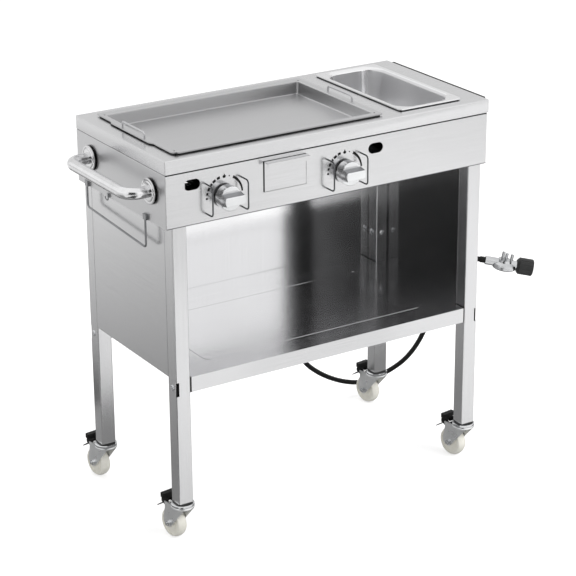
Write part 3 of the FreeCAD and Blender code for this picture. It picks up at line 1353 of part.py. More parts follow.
def middle_of_extents():
    """Centre of the cart's plan, from handle to bumper and from knob to rear brake pedal."""
    left = HANDLE_X - HANDLE_TUBE / 2
    right = HALF_W + BUMPER_THICK
    front = -BOX_Y - KNOB_GAP - KNOB_BODY - GRIP_BAR
    turn = math.radians(CASTER_TURN)
    tab = PEDAL_PIN_Y + TAB_REACH
    back = LEG_MID_Y + tab * math.cos(turn) + TAB_W / 2 * math.sin(turn)
    return Vector((left + right) / 2, (front + back) / 2, 0)


def main():
    os.makedirs("parts", exist_ok=True)
    shift = middle_of_extents() * -1
    print("shift to the middle of the base:", shift)
    for name, shape in build().items():
        moved = shape.translated(shift)
        if not moved.isValid():
            print("not valid:", name)
        moved.exportStep("parts/%s.step" % name)


main()
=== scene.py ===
import math

import bmesh
import bpy
from mathutils import Matrix, Vector


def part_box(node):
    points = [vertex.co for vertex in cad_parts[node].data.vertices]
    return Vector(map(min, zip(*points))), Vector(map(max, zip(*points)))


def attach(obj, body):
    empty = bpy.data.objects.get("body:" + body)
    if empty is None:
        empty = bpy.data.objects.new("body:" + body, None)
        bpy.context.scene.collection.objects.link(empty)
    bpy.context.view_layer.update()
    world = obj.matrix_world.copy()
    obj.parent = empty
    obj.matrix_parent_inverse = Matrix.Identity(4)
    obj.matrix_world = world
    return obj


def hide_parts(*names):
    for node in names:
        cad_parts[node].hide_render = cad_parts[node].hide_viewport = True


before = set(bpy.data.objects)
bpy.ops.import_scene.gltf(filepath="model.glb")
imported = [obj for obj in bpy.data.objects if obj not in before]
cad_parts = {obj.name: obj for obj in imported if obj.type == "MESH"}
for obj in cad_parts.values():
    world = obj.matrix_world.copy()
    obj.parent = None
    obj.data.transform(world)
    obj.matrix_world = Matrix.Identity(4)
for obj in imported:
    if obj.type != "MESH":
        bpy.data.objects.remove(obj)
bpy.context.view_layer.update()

# ---- sizes of the cart, in mm about the worktop's middle ----
MM = 0.001
# Where the worktop's middle lies in the frame.
SHIFT = (33.5, -9.663, 0.0)
WORKTOP_TOP = 965.0
HALF_W, HALF_D = 450.0, 217.5
KNOB_X = (-296.0, 32.5)
KNOB_Z = 858.0
HANDLE_ENDS = (145.0, -149.0)
HANDLE_Z = 878.0
PAN_MOUTH = (228.0, 379.0, -170.0, 176.0)
PAN_TOP = 970.1


def here(x, y, z):
    """A point about the worktop's middle, in mm, to a point in the frame, in metres."""
    return Vector(((x + SHIFT[0]) * MM, (y + SHIFT[1]) * MM, (z + SHIFT[2]) * MM))


def in_scene(name, data):
    """A new object with this data, linked to the scene."""
    thing = bpy.data.objects.new(name, data)
    bpy.context.scene.collection.objects.link(thing)
    return thing


# ---- camera ----
# The view was fitted to the worktop's edges, the legs and the casters in a 576 px frame.
FRAME_PX = 576
FOCAL_PX = 2103.4
SENSOR_MM = 36.0
SIGHT_M = 60.0
EYE = (-2584.6, -4140.8, WORKTOP_TOP + 1438.4)
YAW, PITCH, ROLL = (math.radians(a) for a in (32.057, 21.331, -0.386))


def make_camera():
    """The camera at the photograph's place and angle."""
    ahead = Vector((math.sin(YAW) * math.cos(PITCH), math.cos(YAW) * math.cos(PITCH),
                    -math.sin(PITCH)))
    right = Vector((math.cos(YAW), -math.sin(YAW), 0))
    up = right.cross(ahead)
    across = right * math.cos(ROLL) + up * math.sin(ROLL)
    upright = up * math.cos(ROLL) - right * math.sin(ROLL)
    data = bpy.data.cameras.new("studio_camera")
    data.sensor_width = SENSOR_MM
    data.lens = FOCAL_PX / FRAME_PX * SENSOR_MM
    data.clip_end = SIGHT_M
    camera = in_scene("studio_camera", data)
    axes = Matrix((across, upright, -ahead)).transposed()
    camera.matrix_world = Matrix.Translation(here(*EYE)) @ axes.to_4x4()
    bpy.context.scene.camera = camera


make_camera()


# ---- colours and materials ----
def srgb(code):
    """An sRGB hex colour as the linear numbers that the shader takes."""
    parts = [int(code[i:i + 2], 16) / 255 for i in (1, 3, 5)]
    return tuple(p / 12.92 if p <= 0.04045 else ((p + 0.055) / 1.055) ** 2.4
                 for p in parts) + (1.0,)


def add(tree, kind, inputs=None, **settings):
    """A new node with its settings, and its inputs set or linked."""
    node = tree.nodes.new(kind)
    for name, value in settings.items():
        setattr(node, name, value)
    for name, value in (inputs or {}).items():
        if isinstance(value, bpy.types.Node):
            value = value.outputs[0]
        socket = node.inputs[name]
        if isinstance(value, bpy.types.NodeSocket):
            tree.links.new(value, socket)
        else:
            socket.default_value = value
    return node


def bare_tree(owner):
    """The nodes of a material or a world, with nothing in them yet."""
    owner.use_nodes = True
    owner.node_tree.nodes.clear()
    return owner.node_tree


# Ground lines, in cycles per metre: long along the grain, and one each 1.1 mm across it. The
# real ones are about a tenth of that apart, too fine to show, so they are drawn coarser.
ALONG, ACROSS = 6.0, 900.0
GRAIN = {"x": (ALONG, ACROSS, ACROSS), "y": (ACROSS, ALONG, ACROSS),
         "z": (ACROSS, ACROSS, ALONG)}
# How evenly a sheet was ground changes about each 200 mm.
SHEET_CLOUD = (5.0,) * 3
# Moulded, cast and plated skins: a grain each 1.7 mm, where the real one is too fine to show,
# and a mottle each 25 mm.
GRIT = (600.0,) * 3
MOTTLE = (40.0,) * 3
# The part of a pattern's range in which it goes from its dark tone to its light one, and the
# range of the lines and the cloud added together.
TONES = (0.3, 0.7)
LINES_AND_CLOUD = (0.7, 1.3)
# How strongly the relief shows, and how deep it is, in metres.
GRAIN_RELIEF = (0.25, 0.01 * MM)
GRIT_RELIEF = (0.3, 0.02 * MM)
# How squarely a face has to look along an axis to count as one of its faces.
SLOPED = (0.45, 0.6)
SQUARE = (0.93, 0.98)
# Painted shade: dark tones painted where the object goes dark, in the drawer's gap, along the
# box's folded edges and round a turned foot.
GAP_SHADE_TINT = "#2B2B2C"
FOOT_SHADE_TINT = "#19191A"


def two_tone(tree, pattern, dark, light):
    """A colour that follows a pattern between two close tones."""
    share = add(tree, "ShaderNodeMapRange", {"Value": pattern, "From Min": TONES[0],
                                             "From Max": TONES[1]})
    return add(tree, "ShaderNodeMix", {0: share, 6: srgb(dark), 7: srgb(light)},
               data_type="RGBA").outputs[2]


def between(tree, where, axis, start, end, first=0.0, last=1.0):
    """A value that goes from first to last between two places along an axis, in metres."""
    place = add(tree, "ShaderNodeSeparateXYZ", {0: where}).outputs[axis]
    return add(tree, "ShaderNodeMapRange", {"Value": place, "From Min": start, "From Max": end,
                                            "To Min": first, "To Max": last})


def faces_along(tree, axis, low, high):
    """1 on faces that look along an axis of the piece, either way, and 0 on the rest."""
    normal = add(tree, "ShaderNodeNewGeometry").outputs["Normal"]
    own = add(tree, "ShaderNodeVectorTransform", {0: normal}, vector_type="NORMAL",
              convert_from="WORLD", convert_to="OBJECT")
    part = add(tree, "ShaderNodeSeparateXYZ", {0: own}).outputs[axis]
    size = add(tree, "ShaderNodeMath", {0: part}, operation="ABSOLUTE")
    return add(tree, "ShaderNodeMapRange", {"Value": size, "From Min": low, "From Max": high})


def finished(tree, colour, rough, metallic, height, relief, shine=0.5):
    """The shader of a finish, with its fine relief."""
    bump = add(tree, "ShaderNodeBump", {"Height": height, "Strength": relief[0],
                                        "Distance": relief[1]})
    shader = add(tree, "ShaderNodeBsdfPrincipled", {
        "Base Color": colour, "Metallic": metallic, "Roughness": rough,
        "Specular IOR Level": shine, "Normal": bump})
    add(tree, "ShaderNodeOutputMaterial", {"Surface": shader})


def stainless(name, way, dark="#D6D6D7", light="#DFDFE0", rough=(0.2, 0.27), walls=None,
              edges=()):
    """Type 304 stainless sheet, ground one way: fine lines that draw reflections into streaks.

    walls is (axis, tint, roughness) for the faces along one axis, which the belt reaches less:
    there the roughness is higher, and the tint is painted shade.
    edges lists the places painted dark, painted shade, each as one or more (axis, start, end).
    """
    material = bpy.data.materials.new(name)
    tree = bare_tree(material)
    where = add(tree, "ShaderNodeTexCoord").outputs["Object"]
    placed = add(tree, "ShaderNodeMapping", {"Vector": where, "Scale": GRAIN[way]})
    lines = add(tree, "ShaderNodeTexNoise", {"Vector": placed, "Scale": 1.0, "Detail": 4.0,
                                             "Roughness": 0.6})
    placed = add(tree, "ShaderNodeMapping", {"Vector": where, "Scale": SHEET_CLOUD})
    cloud = add(tree, "ShaderNodeTexNoise", {"Vector": placed, "Scale": 1.0, "Detail": 2.0})
    colour = two_tone(tree, lines, dark, light)
    both = add(tree, "ShaderNodeMath", {0: lines, 1: cloud}, operation="ADD")
    ground = add(tree, "ShaderNodeMapRange", {
        "Value": both, "From Min": LINES_AND_CLOUD[0], "From Max": LINES_AND_CLOUD[1],
        "To Min": rough[0], "To Max": rough[1]})
    # Painted shade: each band mixes the colour towards a dark tint.
    for edge in edges:
        share = 1.0
        for axis, start, end in edge:
            share = add(tree, "ShaderNodeMath", {0: between(tree, where, axis, start, end),
                                                 1: share}, operation="MULTIPLY")
        colour = add(tree, "ShaderNodeMix", {0: share, 6: colour, 7: srgb(GAP_SHADE_TINT)},
                     data_type="RGBA").outputs[2]
    # The walls' tint is painted shade; their higher roughness is the duller grind.
    if walls is not None:
        axis, tint, wall_rough = walls
        side = faces_along(tree, axis, *SLOPED)
        colour = add(tree, "ShaderNodeMix", {0: side, 6: colour, 7: srgb(tint)},
                     data_type="RGBA").outputs[2]
        ground = add(tree, "ShaderNodeMix", {0: side, 2: ground, 3: wall_rough})
    finished(tree, colour, ground, 1.0, lines, GRAIN_RELIEF)
    return material


def plain(name, dark, light, rough=(0.4, 0.5), metallic=0.0, shine=0.5, foot=None, flats=None):
    """A moulded, cast, drawn or plated finish: two close colours and a fine grit.

    foot is (axis, start, end): there it is painted dark, painted shade where a round foot meets
    its sheet.
    flats is (axis, tint) for the flat faces along an axis, whose tint is painted shade.
    """
    material = bpy.data.materials.new(name)
    tree = bare_tree(material)
    where = add(tree, "ShaderNodeTexCoord").outputs["Object"]
    placed = add(tree, "ShaderNodeMapping", {"Vector": where, "Scale": GRIT})
    fine = add(tree, "ShaderNodeTexNoise", {"Vector": placed, "Scale": 1.0, "Detail": 2.0})
    placed = add(tree, "ShaderNodeMapping", {"Vector": where, "Scale": MOTTLE})
    mottle = add(tree, "ShaderNodeTexNoise", {"Vector": placed, "Scale": 1.0, "Detail": 3.0})
    colour = two_tone(tree, mottle, dark, light)
    # Painted shade on the flat faces.
    if flats is not None:
        axis, tint = flats
        colour = add(tree, "ShaderNodeMix", {0: faces_along(tree, axis, *SQUARE), 6: colour,
                                             7: srgb(tint)}, data_type="RGBA").outputs[2]
    # Painted shade round the foot.
    if foot is not None:
        colour = add(tree, "ShaderNodeMix", {0: between(tree, where, *foot), 6: colour,
                                             7: srgb(FOOT_SHADE_TINT)}, data_type="RGBA").outputs[2]
    spread = add(tree, "ShaderNodeMapRange", {
        "Value": mottle, "From Min": TONES[0], "From Max": TONES[1],
        "To Min": rough[0], "To Max": rough[1]})
    finished(tree, colour, spread, metallic, fine, GRIT_RELIEF, shine)
    return material


# Where painted shade darkens edges and feet, along an axis of the frame, in metres.
DRAWER_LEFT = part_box("grease_drawer")[0][0]
FASCIA_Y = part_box("burner_box")[0][1]
BOX_FOOT_SHADE = (("Z", 0.8056, 0.8036),)
BOX_HEAD_SHADE = (("Z", 0.9284, 0.93),)
DRAWER_GAP_SHADE = (("X", DRAWER_LEFT + 0.0036, DRAWER_LEFT + 0.0028),
               ("Y", FASCIA_Y - 0.004, FASCIA_Y - 0.003))
ROSE_FOOT_SHADE = ("X", here(-456.2, 0, 0).x, here(-454.6, 0, 0).x)
KNOB_FOOT_SHADE = ("Y", here(0, -224.0, 0).y, here(0, -221.0, 0).y)

MATERIALS = {
    # Ground stainless sheet, one for each way that the grain runs: soft streaks across it.
    "sheet_x": stainless("ground_stainless_along", "x"),
    "sheet_y": stainless("ground_stainless_across", "y"),
    "sheet_z": stainless("ground_stainless_upright", "z"),
    # Bright annealed stainless: almost a mirror, in which the cabinet's inside shows the room.
    "back": stainless("bright_annealed_stainless", "z", "#F4F4F5", "#F9F9FA", (0.1, 0.13)),
    # The same sheet on the right side, a tone greyer as painted shade, and its mirror a little
    # softer.
    "right": stainless("bright_annealed_stainless_painted_shade", "z", "#BABABB", "#C4C4C5",
                       (0.12, 0.16)),
    # Bright rolled stainless: a soft mirror, streaked along the shelf.
    "shelf": stainless("bright_rolled_stainless", "x", "#D4D4D5", "#DEDEDF", (0.12, 0.18)),
    # Ground griddle steel: greyer and duller than the top round it; its long walls duller and
    # painted darker, painted shade.
    "griddle": stainless("ground_griddle_steel", "x", "#C6C6C7", "#CECECF", (0.28, 0.38),
                         walls=("Y", "#B2B2B3", 0.3)),
    # The burner box's sheet: duller ends painted a tone darker as painted shade, and painted
    # shade lines along its folded foot and head.
    "box": stainless("ground_stainless_box", "x", walls=("X", "#D2D2D3", 0.36),
                     edges=(BOX_FOOT_SHADE, BOX_HEAD_SHADE)),
    # The drawer's sheet: a painted shade line down its left edge, beside the dark gap.
    "drawer": stainless("ground_stainless_drawer", "x", edges=(DRAWER_GAP_SHADE,)),
    # Deep-drawn stainless: pale and smooth, with broad highlights in the corners; duller ends
    # painted a tone darker, painted shade.
    "pan": stainless("deep_drawn_stainless", "z", "#EEEEEF", "#F4F4F5", (0.14, 0.2),
                     walls=("X", "#DCDCDD", 0.34)),
    # Satin-polished stainless tube: wide bright bands that bend with the handle.
    "tube": plain("satin_polished_stainless_tube", "#E2E2E3", "#ECECED", (0.17, 0.21), 1.0),
    # Turned and polished stainless: crisp rings, with painted shade where the foot sits on the
    # box.
    "rose": plain("turned_polished_stainless", "#DCDCDD", "#E8E8E9", (0.1, 0.15), 1.0,
                  foot=ROSE_FOOT_SHADE),
    # Bright drawn stainless wire: a thin line of light.
    "wire": plain("bright_drawn_stainless_wire", "#C4C4C6", "#D0D0D2", (0.16, 0.22), 1.0),
    # Drawn stainless rod painted mid grey, a painted reflection of dark surroundings, with a
    # narrow highlight.
    "rail": plain("drawn_stainless_rod_painted_grey", "#8C8D8F", "#A0A1A3", (0.14, 0.2), 1.0),
    # Chromed steel wire painted almost black against the pale box, a painted reflection of dark
    # surroundings, with a glint.
    "guard": plain("chromed_steel_wire_painted_dark", "#5E5F61", "#727375", (0.16, 0.22), 1.0),
    # Satin chrome on cast zinc: pale bands, flats painted grey as painted shade, and a painted
    # shade ring at the foot.
    "knob": plain("satin_chrome_on_cast_zinc", "#E6E7E8", "#F1F2F3", (0.17, 0.23), 0.86,
                  foot=KNOB_FOOT_SHADE, flats=("Z", "#8E8F91")),
    # Bright zinc plate on pressed steel: pale, with blurred highlights.
    "fork": plain("bright_zinc_plate", "#E9EAEB", "#F3F4F4", (0.26, 0.34), 0.88),
    # Zinc-plated steel: cool and clearly reflecting.
    "zinc": plain("zinc_plated_steel", "#D2D4D6", "#E4E5E6", (0.13, 0.2), 1.0),
    # Galvanised steel: dull mottled grey.
    "galvanised": plain("galvanised_steel", "#A9ACAE", "#BFC1C2", (0.35, 0.5), 1.0),
    # Aluminised steel tube: warm and matt.
    "burner": plain("aluminised_burner_tube", "#8F8C86", "#A5A29B", (0.45, 0.6), 1.0),
    # Turned brass: muted yellow with a satin sheen.
    "brass": plain("turned_brass", "#B79A55", "#CDB372", (0.25, 0.35), 1.0),
    # Moulded nitrile rubber: black with hardly a highlight.
    "rubber": plain("black_nitrile_rubber", "#101010", "#181818", (0.5, 0.62), shine=0.25),
    # Black and matt strips under the rims: painted shade, standing in for the shadow in the gaps
    # there.
    "seal": plain("black_gap_shade_strip", "#121212", "#191919", (0.5, 0.6)),
    # Moulded nylon: black with a soft satin highlight.
    "black": plain("black_moulded_nylon", "#161616", "#212121", (0.42, 0.5)),
    # Cast nylon wheels: cream and satin.
    "nylon": plain("cream_cast_nylon", "#EDEBE0", "#F6F4EB", (0.35, 0.45)),
    # Baked ink on the dials: flat black.
    "ink": plain("baked_black_ink", "#0C0C0C", "#141414", (0.5, 0.6), shine=0.2),
    # Bright die-cast zinc: cool grey with small sharp highlights.
    "grey": plain("bright_die_cast_zinc", "#BFC0C2", "#D3D4D5", (0.16, 0.22), 1.0),
}
# The solids that show as they are. Those that a piece below replaces aren't listed.
NODE_MATERIALS = {
    "box": ("burner_box",),
    "drawer": ("grease_drawer",),
    "sheet_x": ("box_floor", "drawer_cradle"),
    "sheet_y": ("left_panel", "heat_baffle"),
    "sheet_z": ("leg_front_left", "leg_front_right", "leg_back_left", "leg_back_right"),
    "back": ("back_panel",),
    "right": ("right_panel",),
    "shelf": ("shelf",),
    "griddle": ("griddle",),
    "guard": ("knob_guards",),
    "wire": ("griddle_handles",),
    "rail": ("tool_rail", "utensil_hook"),
    "knob": ("knob_left", "knob_right"),
    "zinc": ("caster_tops",),
    "galvanised": ("gas_manifold", "gas_inlet", "hose_clip"),
    "burner": ("burners",),
    "brass": ("gas_valves", "regulator_nipple", "valve_stem_left", "valve_stem_right"),
    "rubber": ("hose_ferrules",),
    "black": ("shelf_spacers", "leg_inserts", "leg_plugs", "cylinder_nut"),
    "grey": ("regulator_body",),
}
CASTER_MATERIALS = {"fork": "fork", "axle": "zinc", "wheel": "nylon", "pedal": "rubber"}
CORNERS = ("front_left", "front_right", "back_left", "back_right")


def dress(node, material):
    """Gives a solid its finish."""
    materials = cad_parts[node].data.materials
    materials.clear()
    materials.append(MATERIALS[material])


for finish, names in NODE_MATERIALS.items():
    for name in names:
        dress(name, finish)
for corner in CORNERS:
    for part, finish in CASTER_MATERIALS.items():
        dress("caster_" + part + "_" + corner, finish)


# ---- gas hose ----
# Low-pressure rubber gas hose, 13 mm outside: down behind the cart, along the floor, round the
# back right caster and up the right side to the regulator.
HOSE_DIAMETER = 13.0
HOSE_POINTS = (
    (172.0, 258.0, 812.0), (172.0, 258.0, 740.0), (167.0, 264.0, 612.0), (163.0, 268.0, 462.0),
    (166.0, 268.0, 330.0), (186.5, 268.0, 224.0), (227.7, 274.0, 142.4), (287.4, 281.0, 91.1),
    (349.6, 285.0, 54.9), (404.8, 286.0, 35.4), (441.4, 286.0, 30.9), (482.4, 284.0, 37.4),
    (513.0, 266.0, 58.0), (529.0, 240.0, 85.0), (526.0, 201.0, 122.0), (518.0, 160.0, 163.0),
    (511.0, 121.0, 211.0), (499.0, 80.0, 267.0), (483.0, 38.0, 329.0), (466.0, 0.0, 389.0),
    (453.0, -38.0, 449.0), (447.5, -70.0, 490.0), (453.0, -101.0, 516.0),
    (474.1, -133.9, 523.5), (505.8, -153.7, 516.5),
)


def make_hose():
    """The hose as one round cord along its route."""
    data = bpy.data.curves.new("rubber_gas_hose", "CURVE")
    data.dimensions = "3D"
    spline = data.splines.new("NURBS")
    spline.points.add(len(HOSE_POINTS) - 1)
    for point, at in zip(spline.points, HOSE_POINTS):
        point.co = (*here(*at), 1.0)
    spline.order_u = 3
    spline.use_endpoint_u = True
    data.resolution_u = 8
    data.bevel_depth = HOSE_DIAMETER / 2 * MM
    data.bevel_resolution = 5
    data.use_fill_caps = True
    data.materials.append(MATERIALS["rubber"])
    hose = in_scene("rubber_gas_hose", data)
    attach(hose, "cart")
    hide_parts("gas_hose")


make_hose()


# ---- meshes ----
# Faces that meet at more than this keep a sharp edge between them.
SHARP_FROM = math.radians(35.0)
# Points of a solid's loose triangles that lie closer than this are one.
SAME_POINT = 0.01 * MM


def flattened(piece):
    """The mesh that a piece's modifiers give."""
    graph = bpy.context.evaluated_depsgraph_get()
    graph.update()
    return bpy.data.meshes.new_from_object(piece.evaluated_get(graph), depsgraph=graph)


def to_mesh(bm):
    """A plain mesh of a draft, which ends the draft."""
    mesh = bpy.data.meshes.new("draft")
    bm.to_mesh(mesh)
    bm.free()
    return mesh


def merged_copy(node):
    """A copy of a solid's mesh with its loose triangles joined."""
    bm = bmesh.new()
    bm.from_mesh(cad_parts[node].data)
    bmesh.ops.remove_doubles(bm, verts=bm.verts, dist=SAME_POINT)
    return bm


def piece_from(shape, name, material, body, node=None):
    """Shades a draft or a mesh, gives it its finish and sets it on its body."""
    mesh = to_mesh(shape) if isinstance(shape, bmesh.types.BMesh) else shape
    mesh.name = name
    mesh.materials.clear()
    mesh.materials.append(MATERIALS[material])
    for polygon in mesh.polygons:
        polygon.use_smooth = True
    mesh.set_sharp_from_angle(angle=SHARP_FROM)
    piece = in_scene(name, mesh)
    piece.modifiers.new("even_shading", "WEIGHTED_NORMAL").keep_sharp = True
    shaded = flattened(piece)
    piece.modifiers.clear()
    piece.data = shaded
    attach(piece, body)
    if node:
        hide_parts(node)


def grown(area, by):
    """A rectangle (x0, x1, y0, y1) made larger all round."""
    return (area[0] - by, area[1] + by, area[2] - by, area[3] + by)


def rounded_ring(bm, area, z, radius, steps=12):
    """Vertices round a rectangle whose corners are arcs of one radius, seen from above."""
    x0, x1, y0, y1 = area
    corners = ((x1 - radius, y0 + radius, -90), (x1 - radius, y1 - radius, 0),
               (x0 + radius, y1 - radius, 90), (x0 + radius, y0 + radius, 180))
    ring = []
    for x, y, start in corners:
        for i in range(steps + 1):
            angle = math.radians(start + 90 * i / steps)
            ring.append(bm.verts.new(here(x + radius * math.cos(angle),
                                          y + radius * math.sin(angle), z)))
    return ring


def join_rings(bm, rings):
    """Faces between rings of equal count, each joined to the next."""
    for low, high in zip(rings, rings[1:]):
        for i, vert in enumerate(low):
            j = (i + 1) % len(low)
            bm.faces.new((vert, low[j], high[j], high[i]))


# ---- worktop and bumper ----
# How far the pressed top stands out past its solid, and how wide a band moves with its edge.
RIGHT_OVERHANG, RIGHT_BAND = 4.5, 30.0
BACK_OVERHANG, BACK_BAND = 1.0, 20.0
BUMPER_RISE = 2.2


def make_worktop():
    """The pressed top, whose lip stands out past the box on the right and at the back."""
    bm = merged_copy("worktop")
    for vert in bm.verts:
        if vert.co.x > here(HALF_W - RIGHT_BAND, 0, 0).x:
            vert.co.x += RIGHT_OVERHANG * MM
        if vert.co.y > here(0, HALF_D - BACK_BAND, 0).y:
            vert.co.y += BACK_OVERHANG * MM
    piece_from(bm, "pressed_worktop", "sheet_x", "cart", "worktop")


def make_bumper():
    """The bumper strip, out and up with the top's right end."""
    bm = merged_copy("bumper_strip")
    for vert in bm.verts:
        vert.co.x += RIGHT_OVERHANG * MM
        vert.co.z += BUMPER_RISE * MM
    piece_from(bm, "edge_bumper", "rubber", "cart", "bumper_strip")


# ---- handle and roses ----
HANDLE_R = 14.0
HANDLE_BEND = 32.0
HANDLE_OUT = 60.0
HANDLE_SIDES = 40
# How far the tube's ends stop short of the box, inside the roses.
HANDLE_END_GAP = 3.0
# A rose's outline from its middle out and round: (reach, stand-off from the box).
ROSE_PROFILE = ((0.0, 0.2), (31.0, 0.2), (31.0, 6.0), (30.5, 7.2), (29.3, 7.8), (26.2, 7.8),
                (25.4, 7.0), (24.2, 7.0), (23.4, 8.0), (22.6, 8.6), (19.5, 9.0), (14.1, 9.0),
                (14.1, 3.0), (0.0, 3.0))
ROSE_SPOKES = 64


def bent_line(corners, bend, steps=12):
    """Points along straight runs joined by arcs of one radius, in mm."""
    corners = [Vector(c) for c in corners]
    line = [corners[0]]
    for before, corner, after in zip(corners, corners[1:], corners[2:]):
        back = (before - corner).normalized()
        ahead = (after - corner).normalized()
        half = back.angle(ahead) / 2
        reach = bend / math.tan(half)
        centre = corner + (back + ahead).normalized() * (bend / math.sin(half))
        first = corner + back * reach - centre
        last = corner + ahead * reach - centre
        turn = first.angle(last)
        axis = first.cross(last).normalized()
        for i in range(steps + 1):
            line.append(centre + Matrix.Rotation(turn * i / steps, 3, axis) @ first)
    line.append(corners[-1])
    return line


def swept(bm, line, radius, sides):
    """A round bar along a flat line of points, closed at both ends."""
    normal = Vector((0, 0, 0))
    for a, b, c in zip(line, line[1:], line[2:]):
        normal += (b - a).cross(c - b)
    normal.normalize()
    rings = []
    for i, point in enumerate(line):
        along = (line[min(i + 1, len(line) - 1)] - line[max(i - 1, 0)]).normalized()
        across = along.cross(normal)
        ring = []
        for k in range(sides):
            angle = 2 * math.pi * k / sides
            offset = across * math.cos(angle) + normal * math.sin(angle)
            ring.append(bm.verts.new(here(*(point + offset * radius))))
        rings.append(ring)
    join_rings(bm, rings)
    bm.faces.new(rings[0])
    bm.faces.new(rings[-1][::-1])
    bmesh.ops.recalc_face_normals(bm, faces=bm.faces)


def make_handle():
    """The push handle as one smooth bent tube, its ends hidden in the roses."""
    bm = bmesh.new()
    start, out = -HALF_W - HANDLE_END_GAP, -HALF_W - HANDLE_OUT
    back, front = HANDLE_ENDS
    line = bent_line([(start, back, HANDLE_Z), (out, back, HANDLE_Z), (out, front, HANDLE_Z),
                      (start, front, HANDLE_Z)], HANDLE_BEND)
    swept(bm, line, HANDLE_R, HANDLE_SIDES)
    piece_from(bm, "bent_push_handle", "tube", "cart", "push_handle")


def make_roses():
    """Deep turned roses with a stepped ring and a rounded shoulder, seated on the box."""
    bm = bmesh.new()
    for middle in HANDLE_ENDS:
        rings = []
        for reach, out in ROSE_PROFILE:
            ring = []
            for i in range(ROSE_SPOKES if reach else 1):
                angle = 2 * math.pi * i / ROSE_SPOKES
                ring.append(bm.verts.new(here(-HALF_W - out, middle + reach * math.cos(angle),
                                              HANDLE_Z + reach * math.sin(angle))))
            rings.append(ring)
        for first, second in zip(rings, rings[1:]):
            for i in range(ROSE_SPOKES):
                j = (i + 1) % ROSE_SPOKES
                corners = [first[i % len(first)], first[j % len(first)],
                           second[j % len(second)], second[i % len(second)]]
                bm.faces.new(list(dict.fromkeys(corners)))
    bmesh.ops.recalc_face_normals(bm, faces=bm.faces)
    piece_from(bm, "turned_handle_roses", "rose", "cart", "handle_roses")


# ---- food pan, and black strips painted as shade under the rims ----
PAN_SHEET = 0.9
PAN_DEEP = 100.0
PAN_DRAFT = 9.0
# Radius of the walls' corners in plan, and how much of it the rim's corners lose.
PAN_CORNER_R, PAN_CORNER_LOSS = 48.0, 34.0
PAN_FLOOR_R = 16.0
PAN_FLOOR_DISH = 0.6
# The roll from the rim into the walls: its width and its depth.
PAN_FOLD_W, PAN_FOLD_H = 10.0, 8.0
# The rim's turned-down outer edge: (out past the mouth, rise, corner radius).
PAN_HEM = ((16.0, -2.8, 10.0), (16.0, -0.8, 10.0), (15.7, -0.25, 9.7), (15.2, 0.0, 9.2))
# The ring in the middle of the floor: (out past the mouth, corner radius).
PAN_MIDDLE = (-45.0, 12.0)
# The black strip under the pan's rim, painted shade for its gap, lies between these distances
# outside the mouth.
SHADE_STRIP_IN, SHADE_STRIP_OUT = 10.6, 13.5
SHADE_STRIP_CORNER_R = 10.0
SHADE_STRIP_TOP = 969.0
# The solid's strip under the pan's rim is what lies right of this and above this.
PAN_SIDE, ABOVE_LIP = 190.0, 950.0


def make_food_pan():
    """Deep-drawn pan: a flat rim with a hem, rolled over into the walls."""
    profile = list(PAN_HEM)
    for degrees in range(0, 91, 15):
        angle = math.radians(degrees)
        out = PAN_FOLD_W * (1 - math.sin(angle))
        radius = PAN_CORNER_R + out - PAN_CORNER_LOSS * (out / PAN_FOLD_W) ** 2
        profile.append((out, -PAN_FOLD_H * (1 - math.cos(angle)), radius))
    wall_low = PAN_DEEP - PAN_FLOOR_R
    for part in (0.2, 0.4, 0.6, 0.8, 1.0):
        down = (wall_low - PAN_FOLD_H) * part
        inset = PAN_DRAFT * down / PAN_DEEP
        profile.append((-inset, -PAN_FOLD_H - down, PAN_CORNER_R - inset))
    wall_inset = PAN_DRAFT * (wall_low - PAN_FOLD_H) / PAN_DEEP
    for degrees in range(15, 91, 15):
        angle = math.radians(degrees)
        inset = wall_inset + PAN_FLOOR_R * (1 - math.cos(angle))
        profile.append((-inset, -wall_low - PAN_FLOOR_R * math.sin(angle),
                        PAN_CORNER_R - inset))
    middle_out, middle_r = PAN_MIDDLE
    profile.append((middle_out, -PAN_DEEP - PAN_FLOOR_DISH, middle_r))
    bm = bmesh.new()
    rings = [rounded_ring(bm, grown(PAN_MOUTH, out), PAN_TOP + rise, radius)
             for out, rise, radius in profile]
    join_rings(bm, rings)
    bm.faces.new(rings[-1])
    draft = in_scene("pan_draft", to_mesh(bm))
    wall = draft.modifiers.new("sheet", "SOLIDIFY")
    wall.thickness = PAN_SHEET * MM
    wall.offset = -1.0
    mesh = flattened(draft)
    bpy.data.objects.remove(draft)
    piece_from(mesh, "deep_drawn_pan", "pan", "food_pan", "food_pan")


def make_rim_shade_strips():
    """Painted shade: black strips in the gaps under the griddle and lip as they are, and a
    narrow one under the pan's rim.
    """
    bm = merged_copy("rim_seals")
    corner = here(PAN_SIDE, 0, ABOVE_LIP)
    pan_shade_strip = [v for v in bm.verts if v.co.x > corner.x and v.co.z > corner.z]
    bmesh.ops.delete(bm, geom=pan_shade_strip, context="VERTS")
    rings = [rounded_ring(bm, grown(PAN_MOUTH, out), z, SHADE_STRIP_CORNER_R)
             for out, z in ((SHADE_STRIP_IN, WORKTOP_TOP), (SHADE_STRIP_OUT, WORKTOP_TOP),
                            (SHADE_STRIP_OUT, SHADE_STRIP_TOP), (SHADE_STRIP_IN, SHADE_STRIP_TOP))]
    join_rings(bm, rings + rings[:1])
    piece_from(bm, "rim_seal_strips", "seal", "cart", "rim_seals")


make_worktop()
make_bumper()
make_roses()
make_food_pan()
make_rim_shade_strips()
make_handle()


# ---- dial marks ----
MARK_PROUD = 0.12
DIAL_R = 47.0
